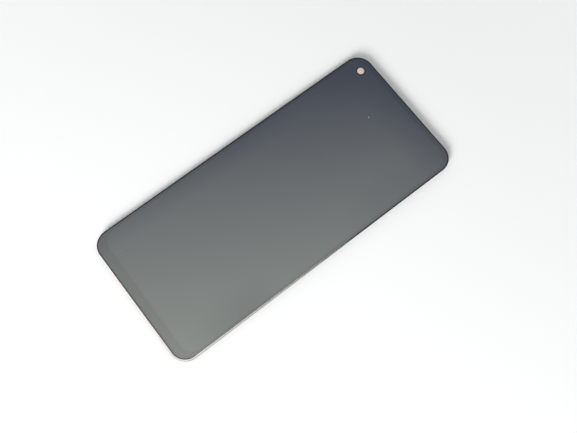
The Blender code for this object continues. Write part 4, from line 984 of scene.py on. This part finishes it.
def fillets(node, sizes):
    """The solder at both ends of a part: a low block whose outer edge is rounded off."""
    low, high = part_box(node)
    aside, height, rounding = 0.04 * MM, 0.2 * MM, 0.14 * MM
    found = []
    for y, outward in ((low.y, -1), (high.y, 1)):
        far = y + outward * sizes.fillet
        piece = block("solder", (low.x + aside, y, high.z - height), (high.x - aside, far, high.z))
        outer = Vector((0, far, high.z - height))
        with editing(piece):
            pick("EDGE", wholly(lambda point: (point - outer).yz.length < TINY))
            bevel(rounding, 5)
        found.append(piece)
    return found


class LCD_OT_stage(bpy.types.Operator):
    """Set up the floor, the soft light above, the low side light and the camera"""

    bl_idname = "lcd.stage"
    bl_label = "Stage, light and camera"

    def execute(self, context):
        scene, stage = context.scene, context.scene.lcd_stage
        make_camera(scene, stage)
        make_floor(stage)
        make_ceiling(stage)
        make_low_panel(stage)
        make_side_light()
        make_world(scene)
        scene.view_settings.view_transform = "Standard"
        return {"FINISHED"}


def aim(thing, direction, roll=0.0):
    """Turns a camera or lamp towards a direction."""
    thing.rotation_mode = "QUATERNION"
    thing.rotation_quaternion = direction.to_track_quat("-Z", "Y") @ Quaternion((0, 0, 1), roll)


def make_camera(scene, stage):
    """The camera, at the photograph's viewing angle."""
    bpy.ops.object.camera_add(location=stage.camera_place)
    camera = bpy.context.object
    camera.name = "photo_camera"
    aim(camera, Vector(stage.camera_target) - Vector(stage.camera_place), stage.camera_roll)
    camera.data.lens = stage.lens
    camera.data.clip_start = 0.01
    scene.camera = camera


def sheet(name, finish, size, height=0.0, turn=0.0):
    """A square sheet that casts no shadow and that soft light passes."""
    bpy.ops.mesh.primitive_plane_add(size=size, location=(0, 0, height), rotation=(turn, 0, 0))
    plane = named(name)
    plane.data.materials.append(finish.material)
    plane.visible_diffuse = plane.visible_shadow = False
    return plane


def make_floor(stage):
    """A wide pale floor, white far off, seen through from below and left out of reflections."""
    finish = Finish("floor_finish", roughness=0.85, base_color=stage.floor_colour)
    x, y, _ = finish.place()
    seen = finish.node("ShaderNodeLightPath", output="Is Camera Ray")
    far = from_point(x, y, (0, 0)).above(0.28, 0.32) * seen
    white = finish.node("ShaderNodeEmission", None, {"Color": (1, 1, 1), "Strength": 1.0})
    behind = finish.node("ShaderNodeNewGeometry", output="Backfacing")
    clear = finish.node("ShaderNodeBsdfTransparent")
    surface = Value(finish, finish.shader.outputs[0])
    for mask, other in ((far, white), (behind, clear)):
        surface = finish.node("ShaderNodeMixShader", None, {0: mask, 1: surface, 2: other})
    finish.feed(finish.tree.nodes["Material Output"].inputs["Surface"], surface)
    floor = sheet("floor", finish, FLOOR_SIZE)
    floor.visible_glossy = False


def make_ceiling(stage):
    """A large soft panel overhead that shows in the glass, brighter towards its lower right."""
    finish = Finish("ceiling_finish", roughness=1.0, base_color=(0, 0, 0))
    x, y, _ = finish.place()
    glow = (x * 2.186 - y * 1.305 + 0.883).least(1).most(0)
    for place_x, place_y, radius, softness, stretch, share in UNEVEN_PLACES:
        middle = (place_x, place_y * stretch)
        glow = glow - from_point(x, y * stretch, middle).below(radius, softness) * share
    glow = glow - y.above(0.306, 0.05) * x.above(-0.15, 0.12) * 0.15
    glow = glow - x.below(-0.226, 0.03) * y.below(0.18, 0.1) * 0.11
    from_middle = from_point(x, y, CEILING_MIDDLE)
    inner = finish.mix(glow * from_middle.below(0.45, 0.35), stage.dim_glow, stage.bright_glow)
    as_world = [1 / CEILING_STRENGTH] * 3
    seen = finish.mix(from_middle.above(0.66, 0.24), inner, as_world)
    finish.set(emission_color=seen, emission_strength=CEILING_STRENGTH)
    ceiling = sheet("ceiling_light", finish, CEILING_SIZE, CEILING_HEIGHT, math.pi)
    ceiling.visible_camera = False


def make_low_panel(stage):
    """A panel under the floor that only reflections show, so that metal there isn't one even tone."""
    finish = Finish("low_panel_finish", roughness=1.0, base_color=(0, 0, 0))
    x, y, _ = finish.place()
    seen = finish.mix((x * 3.1 + y * 4.2).waves(math.tau), stage.low_dim, stage.low_bright)
    finish.set(emission_color=seen, emission_strength=1.0)
    panel = sheet("low_panel", finish, FLOOR_SIZE, LOW_PANEL_HEIGHT)
    panel.visible_camera = False


def make_side_light():
    """A low lamp at the lower right, which lights the sides and isn't seen."""
    bpy.ops.object.light_add(type="AREA", location=SIDE_LAMP_PLACE)
    lamp = bpy.context.object
    lamp.name = "low_side_light"
    aim(lamp, -Vector(SIDE_LAMP_PLACE))
    lamp.data.size = SIDE_LAMP_SIZE
    lamp.data.energy = SIDE_LAMP_ENERGY
    lamp.visible_camera = lamp.visible_glossy = False


def make_world(scene):
    """White for what the camera and reflections see, softer for the light that it casts."""
    world = bpy.data.worlds.new("studio")
    world.use_nodes = True
    scene.world = world
    tree = Tree(world.node_tree)
    kinds = ("Is Camera Ray", "Is Glossy Ray", "Is Transmission Ray")
    camera, glossy, through = (tree.node("ShaderNodeLightPath", output=kind) for kind in kinds)
    background = world.node_tree.nodes["Background"]
    tree.feed(background.inputs["Color"], (1, 1, 1))
    seen = camera.most(glossy).most(through)
    tree.feed(background.inputs["Strength"], seen * (1 - WORLD_LIGHT) + WORLD_LIGHT)


# Plain finishes: two colours, grain size, range of roughness and, for metals, how metallic each is
MATERIAL_TABLE = {
    "clear_sheet": (((0.76, 0.79, 0.8), (0.84, 0.86, 0.87)), 0.4 * MM, (0.12, 0.25)),
    "polariser": (((0.024, 0.026, 0.03), (0.04, 0.042, 0.046)), 0.2 * MM, (0.16, 0.3)),
    "cell_glass": (((0.075, 0.095, 0.095), (0.13, 0.155, 0.15)), 0.15 * MM, (0.06, 0.16)),
    "silicon": (((0.07, 0.07, 0.085), (0.11, 0.11, 0.135)), 0.05 * MM, (0.2, 0.32), 0.3),
    "sealant": (((0.48, 0.5, 0.51), (0.62, 0.64, 0.65)), 0.6 * MM, (0.3, 0.45)),
    "black_tape": (((0.014, 0.014, 0.015), (0.03, 0.03, 0.031)), 0.12 * MM, (0.46, 0.66)),
    "diffusing_film": (((0.82, 0.83, 0.85), (0.9, 0.91, 0.92)), 0.1 * MM, (0.5, 0.7)),
    "acrylic": (((0.8, 0.84, 0.84), (0.88, 0.91, 0.91)), 0.3 * MM, (0.08, 0.16)),
    "reflector": (((0.88, 0.88, 0.88), (0.95, 0.95, 0.95)), 0.2 * MM, (0.2, 0.32), 0.2),
    "white_moulding": (((0.76, 0.76, 0.73), (0.86, 0.86, 0.84)), 0.1 * MM, (0.4, 0.55)),
    "black_moulding": (((0.018, 0.018, 0.019), (0.034, 0.034, 0.035)), 0.08 * MM, (0.42, 0.6)),
    "bright_steel": (((0.62, 0.62, 0.62), (0.74, 0.74, 0.73)), 0.05 * MM, (0.24, 0.38), 1.0),
}
SETTINGS = {
    "lcd_glass": GlassSettings,
    "lcd_tray": TraySettings,
    "lcd_circuit": CircuitSettings,
    "lcd_connector": ConnectorSettings,
    "lcd_parts": PartSettings,
    "lcd_stage": StageSettings,
}
OPERATORS = (
    LCD_OT_cover_glass,
    LCD_OT_camera_window,
    LCD_OT_display_cell,
    LCD_OT_backlight,
    LCD_OT_back_tray,
    LCD_OT_circuit,
    LCD_OT_connector,
    LCD_OT_small_parts,
    LCD_OT_stage,
)


class LCD_PT_sidebar(bpy.types.Panel):
    """Lists the pieces in the order in which they are made"""

    bl_idname = "LCD_PT_sidebar"
    bl_label = "LCD Screen"
    bl_space_type = "VIEW_3D"
    bl_region_type = "UI"
    bl_category = "LCD Screen"

    def draw(self, context):
        for operator in OPERATORS:
            self.layout.operator(operator.bl_idname)
        for name, group in SETTINGS.items():
            box = self.layout.box()
            box.label(text=group.__name__.replace("Settings", ""))
            for prop in group.__annotations__:
                box.prop(getattr(context.scene, name), prop)


CLASSES = (*SETTINGS.values(), *OPERATORS, LCD_PT_sidebar)


def register():
    for cls in CLASSES:
        bpy.utils.register_class(cls)
    for name, group in SETTINGS.items():
        setattr(bpy.types.Scene, name, PointerProperty(type=group))


def unregister():
    for name in SETTINGS:
        delattr(bpy.types.Scene, name)
    for cls in reversed(CLASSES):
        bpy.utils.unregister_class(cls)


def main():
    register()
    for operator in OPERATORS:
        group, name = operator.bl_idname.split(".")
        getattr(getattr(bpy.ops, group), name)()


if __name__ == "__main__":
    main()
